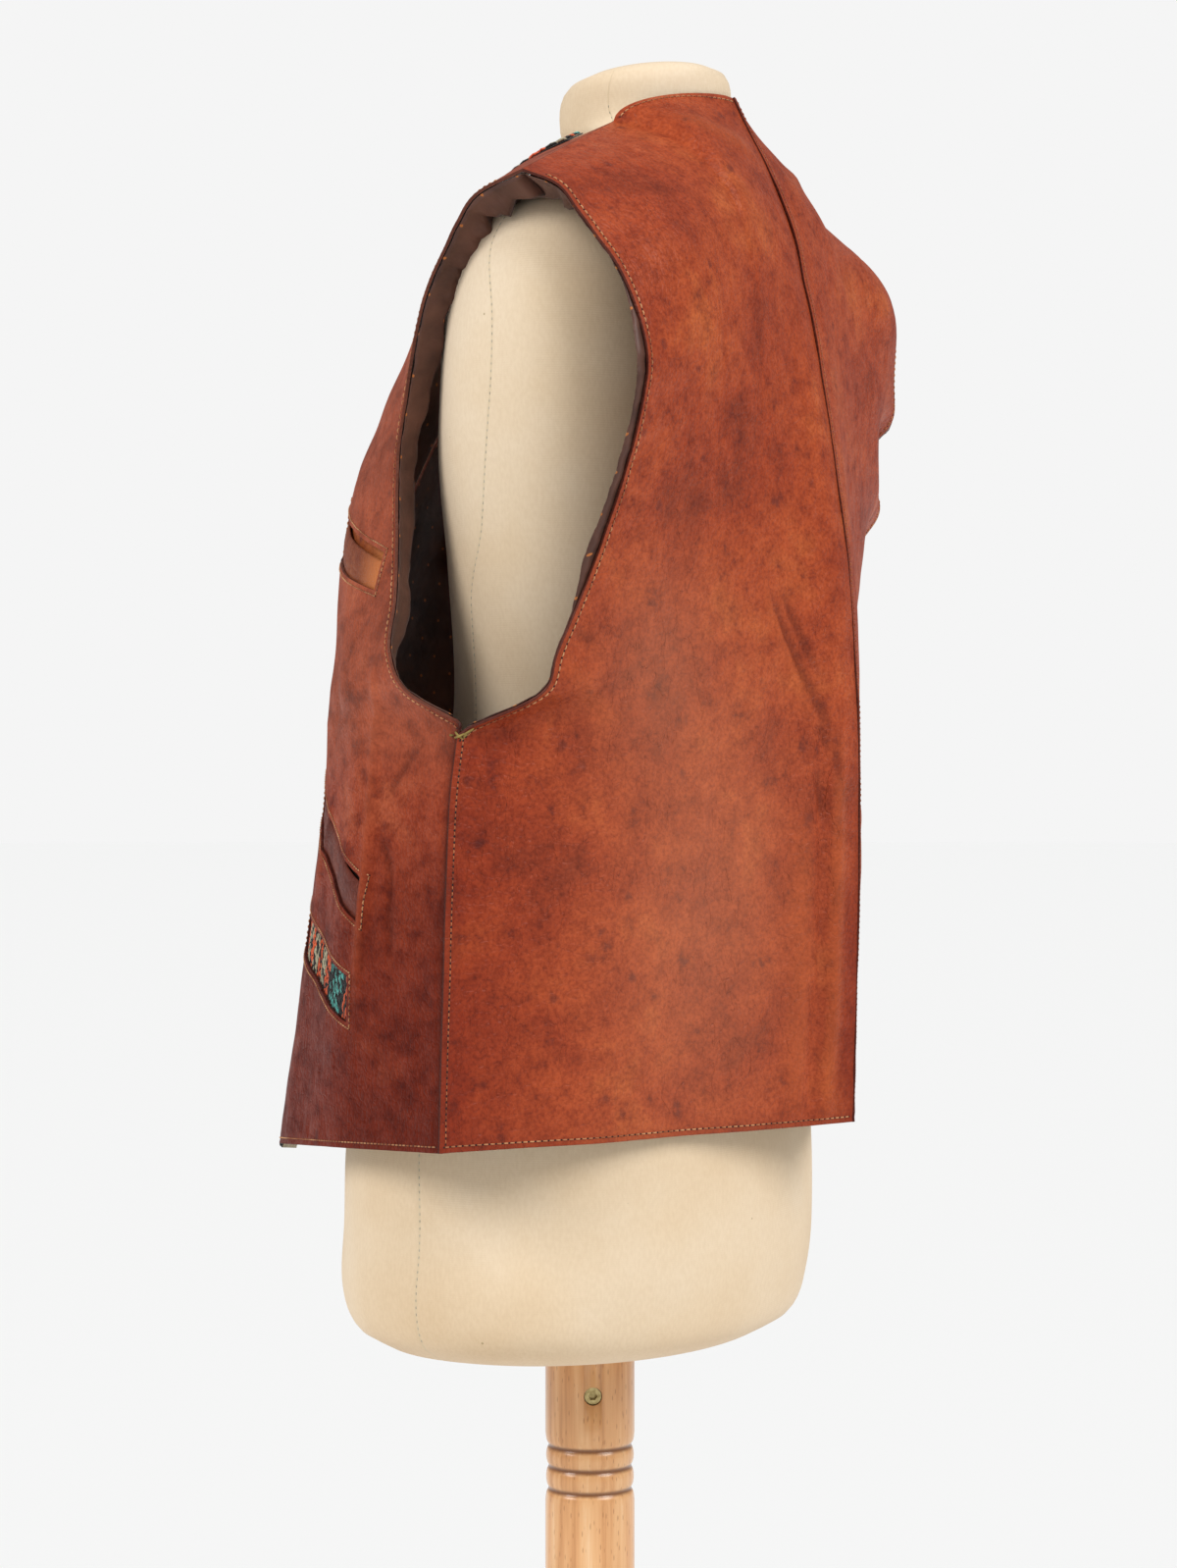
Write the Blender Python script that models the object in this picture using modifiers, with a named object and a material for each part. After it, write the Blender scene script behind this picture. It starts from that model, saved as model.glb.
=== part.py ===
"""Leather vest on a limbless tailor's form, on a turned beech stand.

Metres, +Z up, the wearer faces -Y and the wearer's left is +X.
The origin is on the column's axis, on the floor.
"""
import math
from collections import namedtuple

import bmesh
import bpy
import numpy as np
from mathutils import Vector

# Heights in the tables below are measured from the chest line, this far above the floor.
CHEST_LINE = 1.12

# Vest
LEATHER = 0.0018
SEAM_GAP = 0.00025
PIECE_GAP = 0.0003
SIDE_HEM = -0.204
CENTRE_BACK_HEM = -0.203
FRONT_POINT_HEM = -0.231
SHOULDER_X = 0.200
SHOULDER_Z = 0.3452
SHOULDER_Y = 0.0515
NECK_Z = 0.3947
CENTRE_BACK_NECK_Z = 0.4196
CENTRE_BACK_NECK_Y = 0.0965
ROWS_BELOW_ARMHOLE = 11
ROWS_BESIDE_ARMHOLE = 19
COLUMNS = 14
# The neck point lies on the back's ninth column of points.
NECK_X = SHOULDER_X * 5 / 13
ARMHOLE_BOTTOM = 0.432
# Rows of points beside the armhole lie closer together near its bottom by this power.
ROW_SPREAD = 1.15
# How far a wall's inner edge steps in at the side seam and down at the shoulder, in thicknesses.
SIDE_SEAM_STEP = 1.35
SHOULDER_STEP = 1.1

# Stand
COLUMN_RADIUS = 0.0278
BASE_RADIUS = 0.19
BASE_HEIGHT = 0.030
BASE_ROUNDING = 0.010
FORM_BOTTOM = -0.338
SOCKET_DEPTH = 0.045
SCREW_HEIGHT = -0.377
SCREW_TURN = math.radians(29)
# The recess, the screw and its hexagon. Depths are measured in from the column's surface.
RECESS_RADIUS = 0.0056
RECESS_DEPTH = 0.0090
SCREW_RADIUS = 0.0052
SCREW_END_DEPTH = 0.0087
SCREW_FACE_DEPTH = 0.0020
HEXAGON_RADIUS = 0.0028
HEXAGON_DEPTH = 0.0055
# How far a cutter stands clear of what it cuts.
CUTTER_CLEAR = 0.01

# One row for each section of a back panel, hem to shoulder. up is the share of the way from hem
# to shoulder. edge_x and edge_y are the side seam and then the armhole. The other columns are how
# far back the leather stands at a quarter, half and three quarters of the way to the centre seam.
Back = namedtuple("Back", "up edge_x edge_y quarter half three_quarter centre")
BACK_SECTIONS = [
    Back(0.000, 0.245, 0.0220, 0.066, 0.106, 0.143, 0.1745),
    Back(0.200, 0.243, 0.0240, 0.074, 0.113, 0.148, 0.1773),
    Back(0.360, 0.240, 0.0260, 0.084, 0.122, 0.152, 0.1770),
    Back(0.432, 0.236, 0.0290, 0.094, 0.129, 0.154, 0.1752),
    Back(0.467, 0.224, 0.0738, 0.104, 0.132, 0.155, 0.1740),
    Back(0.509, 0.218, 0.0823, 0.110, 0.135, 0.155, 0.1720),
    Back(0.565, 0.212, 0.0944, 0.118, 0.139, 0.155, 0.1685),
    Back(0.626, 0.209, 0.1067, 0.126, 0.141, 0.153, 0.1630),
    Back(0.700, 0.208, 0.1211, 0.134, 0.143, 0.150, 0.1560),
    Back(0.778, 0.208, 0.1317, 0.139, 0.143, 0.146, 0.1475),
    Back(0.814, 0.207, 0.1313, 0.139, 0.142, 0.1435, 0.1425),
    Back(0.856, 0.205, 0.1233, 0.136, 0.139, 0.139, 0.1370),
    Back(0.897, 0.204, 0.1121, 0.130, 0.133, 0.132, 0.1275),
    Back(0.933, 0.202, 0.0963, 0.116, 0.121, 0.119, 0.1175),
    Back(0.956, 0.201, 0.0861, 0.103, 0.108, 0.109, 0.1100),
    Back(0.983, 0.200, 0.0731, 0.080, 0.083, 0.091, 0.1015),
    Back(1.000, 0.200, 0.0515, 0.0515, 0.0515, 0.072, 0.0965),
]

# The same for a front panel. inner_x and inner_y are its free edge, which runs up the front and
# then along the open neck.
Front = namedtuple("Front", "up edge_x edge_y quarter half three_quarter inner_x inner_y")
FRONT_SECTIONS = [
    Front(0.000, 0.245, 0.0220, -0.0636, -0.1310, -0.1770, 0.024, -0.1960),
    Front(0.200, 0.243, 0.0240, -0.0600, -0.1216, -0.1608, 0.019, -0.1780),
    Front(0.360, 0.240, 0.0260, -0.0540, -0.1126, -0.1496, 0.014, -0.1680),
    Front(0.432, 0.236, 0.0290, -0.0572, -0.1140, -0.1480, 0.011, -0.1650),
    Front(0.467, 0.2225, -0.0118, -0.0739, -0.1195, -0.1472, 0.008, -0.1630),
    Front(0.509, 0.209, -0.0295, -0.0823, -0.1210, -0.1470, 0.005, -0.1595),
    Front(0.565, 0.1955, -0.0333, -0.0866, -0.1234, -0.1462, 0.003, -0.1515),
    Front(0.626, 0.1815, -0.0397, -0.0901, -0.1250, -0.1427, 0.002, -0.1390),
    Front(0.700, 0.172, -0.0446, -0.0850, -0.1160, -0.1300, 0.002, -0.1165),
    Front(0.739, 0.1685, -0.0447, -0.0780, -0.1045, -0.1150, 0.003, -0.1030),
    Front(0.778, 0.167, -0.0416, -0.0700, -0.0920, -0.1020, 0.012, -0.0935),
    Front(0.814, 0.1675, -0.0380, -0.0580, -0.0755, -0.0865, 0.029, -0.0865),
    Front(0.856, 0.1725, -0.0305, -0.0460, -0.0600, -0.0720, 0.041, -0.0745),
    Front(0.897, 0.1785, -0.0200, -0.0315, -0.0425, -0.0552, 0.054, -0.0560),
    Front(0.933, 0.184, -0.0060, -0.0155, -0.0254, -0.0381, 0.067, -0.0320),
    Front(0.956, 0.188, 0.0034, -0.0026, -0.0128, -0.0200, 0.0715, -0.0125),
    Front(0.983, 0.193, 0.0195, 0.0180, 0.0158, 0.0130, 0.0755, 0.0180),
    Front(1.000, 0.200, 0.0515, 0.0515, 0.0515, 0.0515, NECK_X, 0.0515),
]

# Largest folds. across and up are where a fold is, as shares of its panel, reach_across and
# reach_up are how far it reaches, and out is how far it stands out of the leather.
Fold = namedtuple("Fold", "across up reach_across reach_up out")
LEFT_BACK_FOLDS = [
    Fold(0.92, 0.45, 0.08, 0.30, 0.0040),
    Fold(0.77, 0.30, 0.08, 0.22, -0.0030),
    Fold(0.34, 0.12, 0.09, 0.20, 0.0035),
    Fold(0.56, 0.08, 0.09, 0.13, -0.0030),
]
RIGHT_BACK_FOLDS = [
    Fold(0.05, 0.925, 0.34, 0.055, 0.024),
    Fold(0.00, 0.765, 0.17, 0.040, -0.029),
    Fold(0.00, 0.650, 0.20, 0.045, -0.012),
    Fold(0.90, 0.50, 0.09, 0.28, 0.0030),
    Fold(0.45, 0.10, 0.09, 0.16, 0.0040),
]
FRONT_FOLDS = [
    Fold(0.30, 0.30, 0.09, 0.24, 0.0040),
    Fold(0.52, 0.16, 0.10, 0.15, -0.0030),
]

# Slanted openings cut in each front. Each runs from its outer end, near the side, to its inner
# end. x and z are the middle of an end, and the heights are the opening's at its two ends.
Window = namedtuple("Window", "name outer_x outer_z inner_x inner_z outer_height inner_height")
WINDOWS = [
    Window("chest", 0.173, 0.1238, 0.074, 0.1575, 0.022, 0.033),
    Window("waist", 0.190, -0.0670, 0.078, -0.0070, 0.026, 0.024),
    Window("inset", 0.184, -0.1250, 0.076, -0.0865, 0.027, 0.026),
]
WINDOW_OVERLAP = 0.004
WINDOW_GAP = 0.0009
WELT_SHARE = 0.76
WELT = 0.0014
BACKING = 0.0012
KILIM = 0.0024
KILIM_STRIP_COLUMNS = 3
LINING = 0.0008
LINING_GAP = 0.0006
# The lining starts this share above the armhole's bottom and ends at this share under the shoulder.
LINING_START = 0.01
LINING_TOP = 0.985
# A window's cutter starts this far outside the leather and is this deep.
CUTTER_OUT = 0.006
CUTTER_DEPTH = 0.014
# The lining's inner edge passes behind the chest pocket's pieces, this far up the panel.
CHEST_POCKET_UP = 0.605
CHEST_POCKET_REACH = 0.08
ROUND_POCKET = 0.0100

# One row for each section of the form, top to bottom. half_width is along X. front and back are how
# far it reaches along Y from centre_y, its widest place. roundness is 2 for an ellipse and nearer 1
# where the shoulders make it pointed.
Section = namedtuple("Section", "z half_width front back centre_y roundness")
FORM_SECTIONS = [
    Section(0.4360, 0.040, 0.040, 0.040, 0.040, 2.0),
    Section(0.4325, 0.048, 0.048, 0.048, 0.039, 2.0),
    Section(0.4240, 0.0525, 0.0525, 0.0525, 0.038, 2.0),
    Section(0.4080, 0.053, 0.053, 0.053, 0.038, 2.0),
    Section(0.3980, 0.058, 0.058, 0.050, 0.044, 1.8),
    Section(0.3905, 0.0775, 0.055, 0.045, 0.0515, 1.3),
    Section(0.3828, 0.098, 0.058, 0.050, 0.0515, 1.3),
    Section(0.3660, 0.130, 0.068, 0.058, 0.050, 1.7),
    Section(0.3480, 0.145, 0.073, 0.067, 0.047, 2.0),
    Section(0.3300, 0.168, 0.088, 0.077, 0.045, 2.1),
    Section(0.3080, 0.180, 0.096, 0.086, 0.041, 2.1),
    Section(0.2800, 0.186, 0.101, 0.093, 0.040, 2.1),
    Section(0.2400, 0.186, 0.099, 0.099, 0.036, 2.1),
    Section(0.1900, 0.180, 0.101, 0.101, 0.034, 2.1),
    Section(0.1300, 0.169, 0.097, 0.097, 0.033, 2.1),
    Section(0.0500, 0.153, 0.092, 0.092, 0.028, 2.1),
    Section(-0.030, 0.148, 0.096, 0.096, 0.018, 2.1),
    Section(-0.110, 0.156, 0.112, 0.112, 0.006, 2.1),
    Section(-0.200, 0.172, 0.133, 0.133, -0.004, 2.1),
    Section(-0.270, 0.174, 0.136, 0.136, -0.0055, 2.1),
    Section(-0.305, 0.173, 0.1345, 0.1345, -0.008, 2.1),
    Section(-0.328, 0.165, 0.126, 0.126, -0.008, 2.1),
    Section(-0.338, 0.148, 0.109, 0.109, -0.008, 2.1),
]
FORM_SIDES = 40
NECK_RISE = 0.09
NECK_RISE_FROM = 0.408

# The column's turned outline below the form: height, and radius as a share of the column's.
Turn = namedtuple("Turn", "z share")
COLUMN_TURNS = [
    Turn(-0.4035, 1.0),
    Turn(-0.4085, 0.975),
    Turn(-0.4113, 0.925),
    Turn(-0.4140, 0.965),
    Turn(-0.4178, 0.985),
    Turn(-0.4216, 0.965),
    Turn(-0.4243, 0.925),
    Turn(-0.4270, 0.965),
    Turn(-0.4312, 0.985),
    Turn(-0.4355, 0.965),
    Turn(-0.4382, 0.925),
    Turn(-0.4410, 0.975),
    Turn(-0.4460, 1.0),
]

for stale in list(bpy.data.objects):
    bpy.data.objects.remove(stale, do_unlink=True)

parts = bpy.data.collections.new("leather_vest_on_form")
cutters = bpy.data.collections.new("cutters")
bpy.context.scene.collection.children.link(parts)
bpy.context.scene.collection.children.link(cutters)


def finish(name, colour, roughness, metallic=0.0):
    """A Principled material with one colour."""
    material = bpy.data.materials.new(name)
    material.use_nodes = True
    shader = material.node_tree.nodes["Principled BSDF"]
    shader.inputs["Base Color"].default_value = (*colour, 1.0)
    shader.inputs["Roughness"].default_value = roughness
    shader.inputs["Metallic"].default_value = metallic
    return material


TAN_LEATHER = finish("tan_leather", (0.376, 0.068, 0.025), 0.45)
WELT_LEATHER = finish("welt_leather", (0.45, 0.13, 0.04), 0.5)
KILIM_WOOL = finish("kilim_wool", (0.06, 0.09, 0.085), 0.95)
SATIN = finish("brown_satin", (0.105, 0.040, 0.028), 0.35)
CANVAS = finish("cream_canvas", (0.81, 0.69, 0.48), 0.85)
BEECH = finish("beech", (0.66, 0.38, 0.14), 0.35)
BRASS = finish("brass", (0.70, 0.50, 0.22), 0.3, 1.0)


def add_mesh(name, points, faces, material, collection=parts, smooth=True):
    """One object from points and faces, facing out."""
    mesh = bpy.data.meshes.new(name)
    mesh.from_pydata([tuple(point) for point in points], [], faces)
    mesh.materials.append(material)
    shell = bmesh.new()
    shell.from_mesh(mesh)
    bmesh.ops.recalc_face_normals(shell, faces=shell.faces)
    shell.to_mesh(mesh)
    shell.free()
    if smooth:
        mesh.shade_smooth()
        mesh.set_sharp_from_angle(angle=math.radians(40))
    piece = bpy.data.objects.new(name, mesh)
    collection.objects.link(piece)
    return piece


def curve_through(values, knots, at):
    """A smooth curve through values at uneven knots, read at one place."""
    last = len(knots) - 1
    at = min(max(at, knots[0]), knots[-1])
    k = min(max(int(np.searchsorted(knots, at, side="right")) - 1, 0), last - 1)
    span = knots[k + 1] - knots[k]

    def slope(i):
        low, high = max(i - 1, 0), min(i + 1, last)
        return (values[high] - values[low]) / (knots[high] - knots[low])

    t = (at - knots[k]) / span
    start, end = slope(k) * span, slope(k + 1) * span
    return ((2 * t**3 - 3 * t**2 + 1) * values[k] + (t**3 - 2 * t**2 + t) * start
            + (3 * t**2 - 2 * t**3) * values[k + 1] + (t**3 - t**2) * end)


def column_of(table, name, up):
    """One column of a table of sections, read at a height."""
    knots = [row.up for row in table]
    return curve_through([getattr(row, name) for row in table], knots, up)


def edge_of(table, name, up):
    """The side seam below the armhole, or the armhole's edge above it: a corner lies between them."""
    if up <= ARMHOLE_BOTTOM:
        rows = [row for row in table if row.up <= ARMHOLE_BOTTOM]
    else:
        rows = [row for row in table if row.up >= ARMHOLE_BOTTOM]
    return column_of(rows, name, up)


def fold_height(folds, across, up):
    """How far all folds together lift the leather at a place."""
    return sum(fold.out
               * math.exp(-((across - fold.across) / fold.reach_across) ** 2)
               * math.exp(-((up - fold.up) / fold.reach_up) ** 2)
               for fold in folds)


def back_top(x):
    """Height of the back's top edge: the shoulder seam, then the neckline."""
    if x > NECK_X:
        return NECK_Z + (SHOULDER_Z - NECK_Z) * (x - NECK_X) / (SHOULDER_X - NECK_X)
    return NECK_Z + (CENTRE_BACK_NECK_Z - NECK_Z) * math.sqrt(1 - (x / NECK_X) ** 2)


def back_neckline_y(x):
    """How far back the top edge lies: straight along the shoulder, then round the neck."""
    round_the_neck = max(1 - x / NECK_X, 0) if x < NECK_X * 0.999 else 0
    return SHOULDER_Y + (CENTRE_BACK_NECK_Y - SHOULDER_Y) * (1 - (1 - round_the_neck) ** 1.5)


def back_point(across, up):
    """The outer face of a left back panel, before its folds."""
    x = edge_of(BACK_SECTIONS, "edge_x", up) * (1 - across)
    depths = [edge_of(BACK_SECTIONS, "edge_y", up)]
    depths += [column_of(BACK_SECTIONS, name, up)
               for name in ("quarter", "half", "three_quarter", "centre")]
    y = curve_through(depths, [0, 0.25, 0.5, 0.75, 1], across)
    if up == 1.0:
        y = back_neckline_y(x)
    hem = SIDE_HEM + (CENTRE_BACK_HEM - SIDE_HEM) * across
    return Vector((x, y, CHEST_LINE + hem + (back_top(x) - hem) * up))


def front_point(across, up):
    """The outer face of a left front panel, before its folds."""
    edge_x = edge_of(FRONT_SECTIONS, "edge_x", up)
    x = edge_x + (column_of(FRONT_SECTIONS, "inner_x", up) - edge_x) * across
    depths = [edge_of(FRONT_SECTIONS, "edge_y", up)]
    depths += [column_of(FRONT_SECTIONS, name, up)
               for name in ("quarter", "half", "three_quarter", "inner_y")]
    y = curve_through(depths, [0, 0.25, 0.5, 0.75, 1], across)
    if up == 1.0:
        y = SHOULDER_Y
    hem = SIDE_HEM + (FRONT_POINT_HEM - SIDE_HEM) * across
    top = SHOULDER_Z + (NECK_Z - SHOULDER_Z) * across
    return Vector((x, y, CHEST_LINE + hem + (top - hem) * up))


def facing(surface, across, up, outward):
    """The direction that the leather faces at a place."""
    step = 0.01
    left, right = max(across - step, 0), min(across + step, 1)
    low, high = max(up - step, 0), min(up + step, 1)
    normal = (surface(right, up) - surface(left, up)).cross(surface(across, high) - surface(across, low))
    normal.normalize()
    return normal if normal.dot(outward) > 0 else -normal


class Panel:
    """A cut piece of leather: a surface, which way it faces, and its folds."""

    def __init__(self, surface, outward, folds, side):
        self.surface = surface
        self.outward = Vector(outward)
        self.folds = folds
        self.side = side

    def at(self, across, up, out=0.0):
        """A point on the panel, moved out of its outer face by a distance."""
        normal = facing(self.surface, across, up, self.outward)
        lift = fold_height(self.folds, across, up)
        point = self.surface(across, up) + normal * (lift + out)
        return Vector((point.x * self.side, point.y, point.z))

    def place(self, x, z):
        """The shares across and up of a place given by its distance from the middle and its height."""
        across, up = 0.5, 0.5
        for _ in range(12):
            outer, inner = self.surface(0, up), self.surface(1, up)
            across = (outer.x - x) / (outer.x - inner.x)
            low, high = self.surface(across, 0), self.surface(across, 1)
            up = (CHEST_LINE + z - low.z) / (high.z - low.z)
        return across, up


BACK_OUT = (0.35, 1.0, 0.15)
FRONT_OUT = (0.65, -1.0, 0.15)
back_left_panel = Panel(back_point, BACK_OUT, LEFT_BACK_FOLDS, 1)
back_right_panel = Panel(back_point, BACK_OUT, RIGHT_BACK_FOLDS, -1)
front_left_panel = Panel(front_point, FRONT_OUT, FRONT_FOLDS, 1)
front_right_panel = Panel(front_point, FRONT_OUT, FRONT_FOLDS, -1)


def row_heights():
    """Shares up a panel where its rows of points lie, closer beside the armhole's bottom."""
    below = [ARMHOLE_BOTTOM * i / ROWS_BELOW_ARMHOLE for i in range(ROWS_BELOW_ARMHOLE)]
    beside = [ARMHOLE_BOTTOM + (1 - ARMHOLE_BOTTOM) * (i / ROWS_BESIDE_ARMHOLE) ** ROW_SPREAD
              for i in range(ROWS_BESIDE_ARMHOLE + 1)]
    return below + beside


def halves(a, b, c, d):
    """The two triangles of a four-sided face, always parted from a to c, so that pieces which lie
    on each other bend along the same lines."""
    return [(a, b, c), (a, c, d)]


def wall(name, outer, inner, material):
    """A closed wall between two grids of points of the same size."""
    rows, columns = len(outer), len(outer[0])
    points = [point for row in outer for point in row] + [point for row in inner for point in row]
    behind = rows * columns

    def index(i, j):
        return i * columns + j

    faces = []
    for i in range(rows - 1):
        for j in range(columns - 1):
            front_face = halves(index(i, j), index(i, j + 1), index(i + 1, j + 1), index(i + 1, j))
            faces += front_face
            faces += [tuple(behind + k for k in reversed(face)) for face in front_face]
    rim = ([index(0, j) for j in range(columns)]
           + [index(i, columns - 1) for i in range(1, rows)]
           + [index(rows - 1, j) for j in range(columns - 2, -1, -1)]
           + [index(i, 0) for i in range(rows - 2, 0, -1)])
    for here, there in zip(rim, rim[1:] + rim[:1]):
        faces.append((here, behind + here, behind + there, there))
    return add_mesh(name, points, faces, material)


def leather_panel(name, panel, seam_at_centre):
    """A whole panel, parted from its neighbours at its seams."""
    heights = row_heights()
    shares = [j / (COLUMNS - 1) for j in range(COLUMNS)]
    outer = [[panel.at(across, up) for across in shares] for up in heights]
    inner = [[panel.at(across, up, -LEATHER) for across in shares] for up in heights]
    for i, up in enumerate(heights):
        side_seam = up <= ARMHOLE_BOTTOM + 1e-6
        if side_seam:
            edge = outer[i][0]
            inner[i][0] = edge + Vector((-panel.side, 0, 0)) * LEATHER * SIDE_SEAM_STEP
        if seam_at_centre:
            centre = outer[i][-1]
            inner[i][-1] = Vector((0, centre.y - LEATHER, centre.z))
            for grid in (outer, inner):
                grid[i][-1].x = panel.side * SEAM_GAP
        if side_seam:
            for grid in (outer, inner):
                along = (grid[i][1] - grid[i][0]).normalized()
                grid[i][0] = grid[i][0] + along * SEAM_GAP
    for j in range(COLUMNS):
        ridge = panel.surface(shares[j], 1.0)
        if ridge.x > NECK_X * 0.99:
            away = SEAM_GAP if seam_at_centre else -SEAM_GAP
            outer[-1][j] = Vector((ridge.x * panel.side, ridge.y + away, ridge.z))
            inner[-1][j] = outer[-1][j] - Vector((0, 0, LEATHER * SHOULDER_STEP))
    return wall(name, outer, inner, TAN_LEATHER)


def patch(name, panel, window, outside, thickness, material, low=0.0, high=1.0, grow=WINDOW_OVERLAP):
    """A piece behind or through a window, made from the panel's points. outside is how far its
    outer face lies from the panel's outer face, and low and high are its shares of the height."""
    rows, columns = 4, 13
    length = window.outer_x - window.inner_x
    outer, inner = [], []
    for i in range(rows):
        outer_row, inner_row = [], []
        for j in range(columns):
            x = window.outer_x + grow - (length + 2 * grow) * j / (columns - 1)
            along = (window.outer_x - x) / length
            middle = window.outer_z + (window.inner_z - window.outer_z) * along
            height = window.outer_height + (window.inner_height - window.outer_height) * along
            bottom = middle - height / 2 - (grow if low == 0.0 else 0)
            top = middle + height / 2 + (grow if high == 1.0 else 0)
            if high < 1.0:
                top = middle + height * (high - 0.5)
            across, up = panel.place(x, bottom + (top - bottom) * i / (rows - 1))
            outer_row.append(panel.at(across, up, outside))
            inner_row.append(panel.at(across, up, outside - thickness))
        outer.append(outer_row)
        inner.append(inner_row)
    return wall(name, outer, inner, material)


def cut(piece, cutter):
    """Cuts one solid out of another and keeps the result as a mesh."""
    cutter.hide_render = True
    cutter.display_type = "WIRE"
    boolean = piece.modifiers.new("cut_" + cutter.name, "BOOLEAN")
    boolean.operation = "DIFFERENCE"
    boolean.solver = "EXACT"
    boolean.object = cutter


def window_cutter(panel, window, side_name):
    """A slanted block through the leather, as large as the opening."""
    block = patch(window.name + "_cutter_" + side_name, panel, window, CUTTER_OUT, CUTTER_DEPTH,
                  TAN_LEATHER, grow=0.0)
    parts.objects.unlink(block)
    cutters.objects.link(block)
    return block


def front(side_name, panel):
    """A front with its three windows, what fills them, and the woven strip on its free edge."""
    leather = leather_panel("front_" + side_name, panel, False)
    for window in WINDOWS:
        cut(leather, window_cutter(panel, window, side_name))
        behind = -LEATHER - WINDOW_GAP
        if window.name == "inset":
            patch("kilim_inset_" + side_name, panel, window, behind, KILIM, KILIM_WOOL)
        else:
            patch(window.name + "_welt_" + side_name, panel, window, behind, WELT, WELT_LEATHER,
                  high=WELT_SHARE)
            patch(window.name + "_backing_" + side_name, panel, window, behind - WELT - PIECE_GAP,
                  BACKING, TAN_LEATHER)
    kilim_strip("kilim_edge_" + side_name, panel)
    return leather


def kilim_strip(name, panel):
    """The woven strip along a front's free edge and neck, lying on the leather's own points."""
    shares = [j / (COLUMNS - 1) for j in range(COLUMNS - KILIM_STRIP_COLUMNS, COLUMNS)]
    heights = row_heights()[:-1]
    outer = [[panel.at(across, up, PIECE_GAP + KILIM) for across in shares] for up in heights]
    inner = [[panel.at(across, up, PIECE_GAP) for across in shares] for up in heights]
    return wall(name, outer, inner, KILIM_WOOL)


def armhole_lining(side_name, back, front_panel):
    """A band of satin inside one armhole, as far in as it shows, in one closed loop."""
    heights = [up for up in row_heights() if ARMHOLE_BOTTOM + LINING_START < up < LINING_TOP]
    stations = [(front_panel, up) for up in heights] + [(back, up) for up in reversed(heights)]
    band = 1 / (COLUMNS - 1)
    near = -LEATHER - LINING_GAP
    loops = []
    for panel, up in stations:
        deep = near
        if panel is front_panel:
            deep -= ROUND_POCKET * math.exp(-((up - CHEST_POCKET_UP) / CHEST_POCKET_REACH) ** 4)
        loops.append([panel.at(0.0, up, near), panel.at(band, up, deep),
                      panel.at(band, up, deep - LINING), panel.at(0.0, up, near - LINING)])
    points = [point for loop in loops for point in loop]
    ring = len(loops[0])
    faces = []
    for i, (panel, up) in enumerate(stations):
        here, there = i * ring, ((i + 1) % len(loops)) * ring
        low, high = (here, there) if panel is front_panel else (there, here)
        for k, n in ((0, 1), (3, 2)):
            faces += halves(low + k, low + n, high + n, high + k)
        for k, n in ((1, 2), (3, 0)):
            faces.append((here + k, here + n, there + n, there + k))
    return add_mesh("armhole_lining_" + side_name, points, faces, SATIN)


def form_body():
    """The limbless form: rounded sections, closed at the neck and at the hip."""
    points, faces = [], []
    for section in FORM_SECTIONS:
        for k in range(FORM_SIDES):
            turn = 2 * math.pi * k / FORM_SIDES
            c, s = math.cos(turn), math.sin(turn)
            reach = (abs(c) ** section.roundness + abs(s) ** section.roundness) ** (-1 / section.roundness)
            x = section.half_width * c * reach
            y = section.centre_y + (section.back if s > 0 else section.front) * s * reach
            tilt = NECK_RISE * (y - section.centre_y) if section.z > NECK_RISE_FROM else 0
            points.append((x, y, CHEST_LINE + section.z + tilt))
    for i in range(len(FORM_SECTIONS) - 1):
        for k in range(FORM_SIDES):
            a, b = i * FORM_SIDES + k, i * FORM_SIDES + (k + 1) % FORM_SIDES
            faces.append((a, b, b + FORM_SIDES, a + FORM_SIDES))
    faces.append(tuple(range(FORM_SIDES)))
    faces.append(tuple(range(len(points) - FORM_SIDES, len(points))))
    body = add_mesh("form_body", points, faces, CANVAS)
    socket = cylinder("form_socket_cutter", COLUMN_RADIUS + PIECE_GAP,
                      CHEST_LINE + FORM_BOTTOM - CUTTER_CLEAR, CHEST_LINE + FORM_BOTTOM + SOCKET_DEPTH,
                      cutters)
    cut(body, socket)
    return body


def cylinder(name, radius, low, high, collection, sides=32, material=None):
    """An upright cylinder between two heights."""
    mesh = bpy.data.meshes.new(name)
    shape = bmesh.new()
    bmesh.ops.create_cone(shape, cap_ends=True, segments=sides, radius1=radius, radius2=radius,
                          depth=high - low)
    bmesh.ops.translate(shape, verts=shape.verts, vec=(0, 0, (low + high) / 2))
    shape.to_mesh(mesh)
    shape.free()
    mesh.materials.append(material or BEECH)
    piece = bpy.data.objects.new(name, mesh)
    collection.objects.link(piece)
    return piece


def turned(name, outline, material, sides=32):
    """A solid of revolution about Z from an outline of (radius, height), top to bottom."""
    mesh = bpy.data.meshes.new(name)
    points = [(radius, 0.0, height) for radius, height in outline]
    mesh.from_pydata(points, [(i, i + 1) for i in range(len(points) - 1)], [])
    mesh.materials.append(material)
    piece = bpy.data.objects.new(name, mesh)
    parts.objects.link(piece)
    screw = piece.modifiers.new("turn", "SCREW")
    screw.axis = "Z"
    screw.steps = sides
    screw.render_steps = sides
    screw.use_merge_vertices = True
    screw.merge_threshold = 0.00001
    screw.use_smooth_shade = True
    return piece


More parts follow.
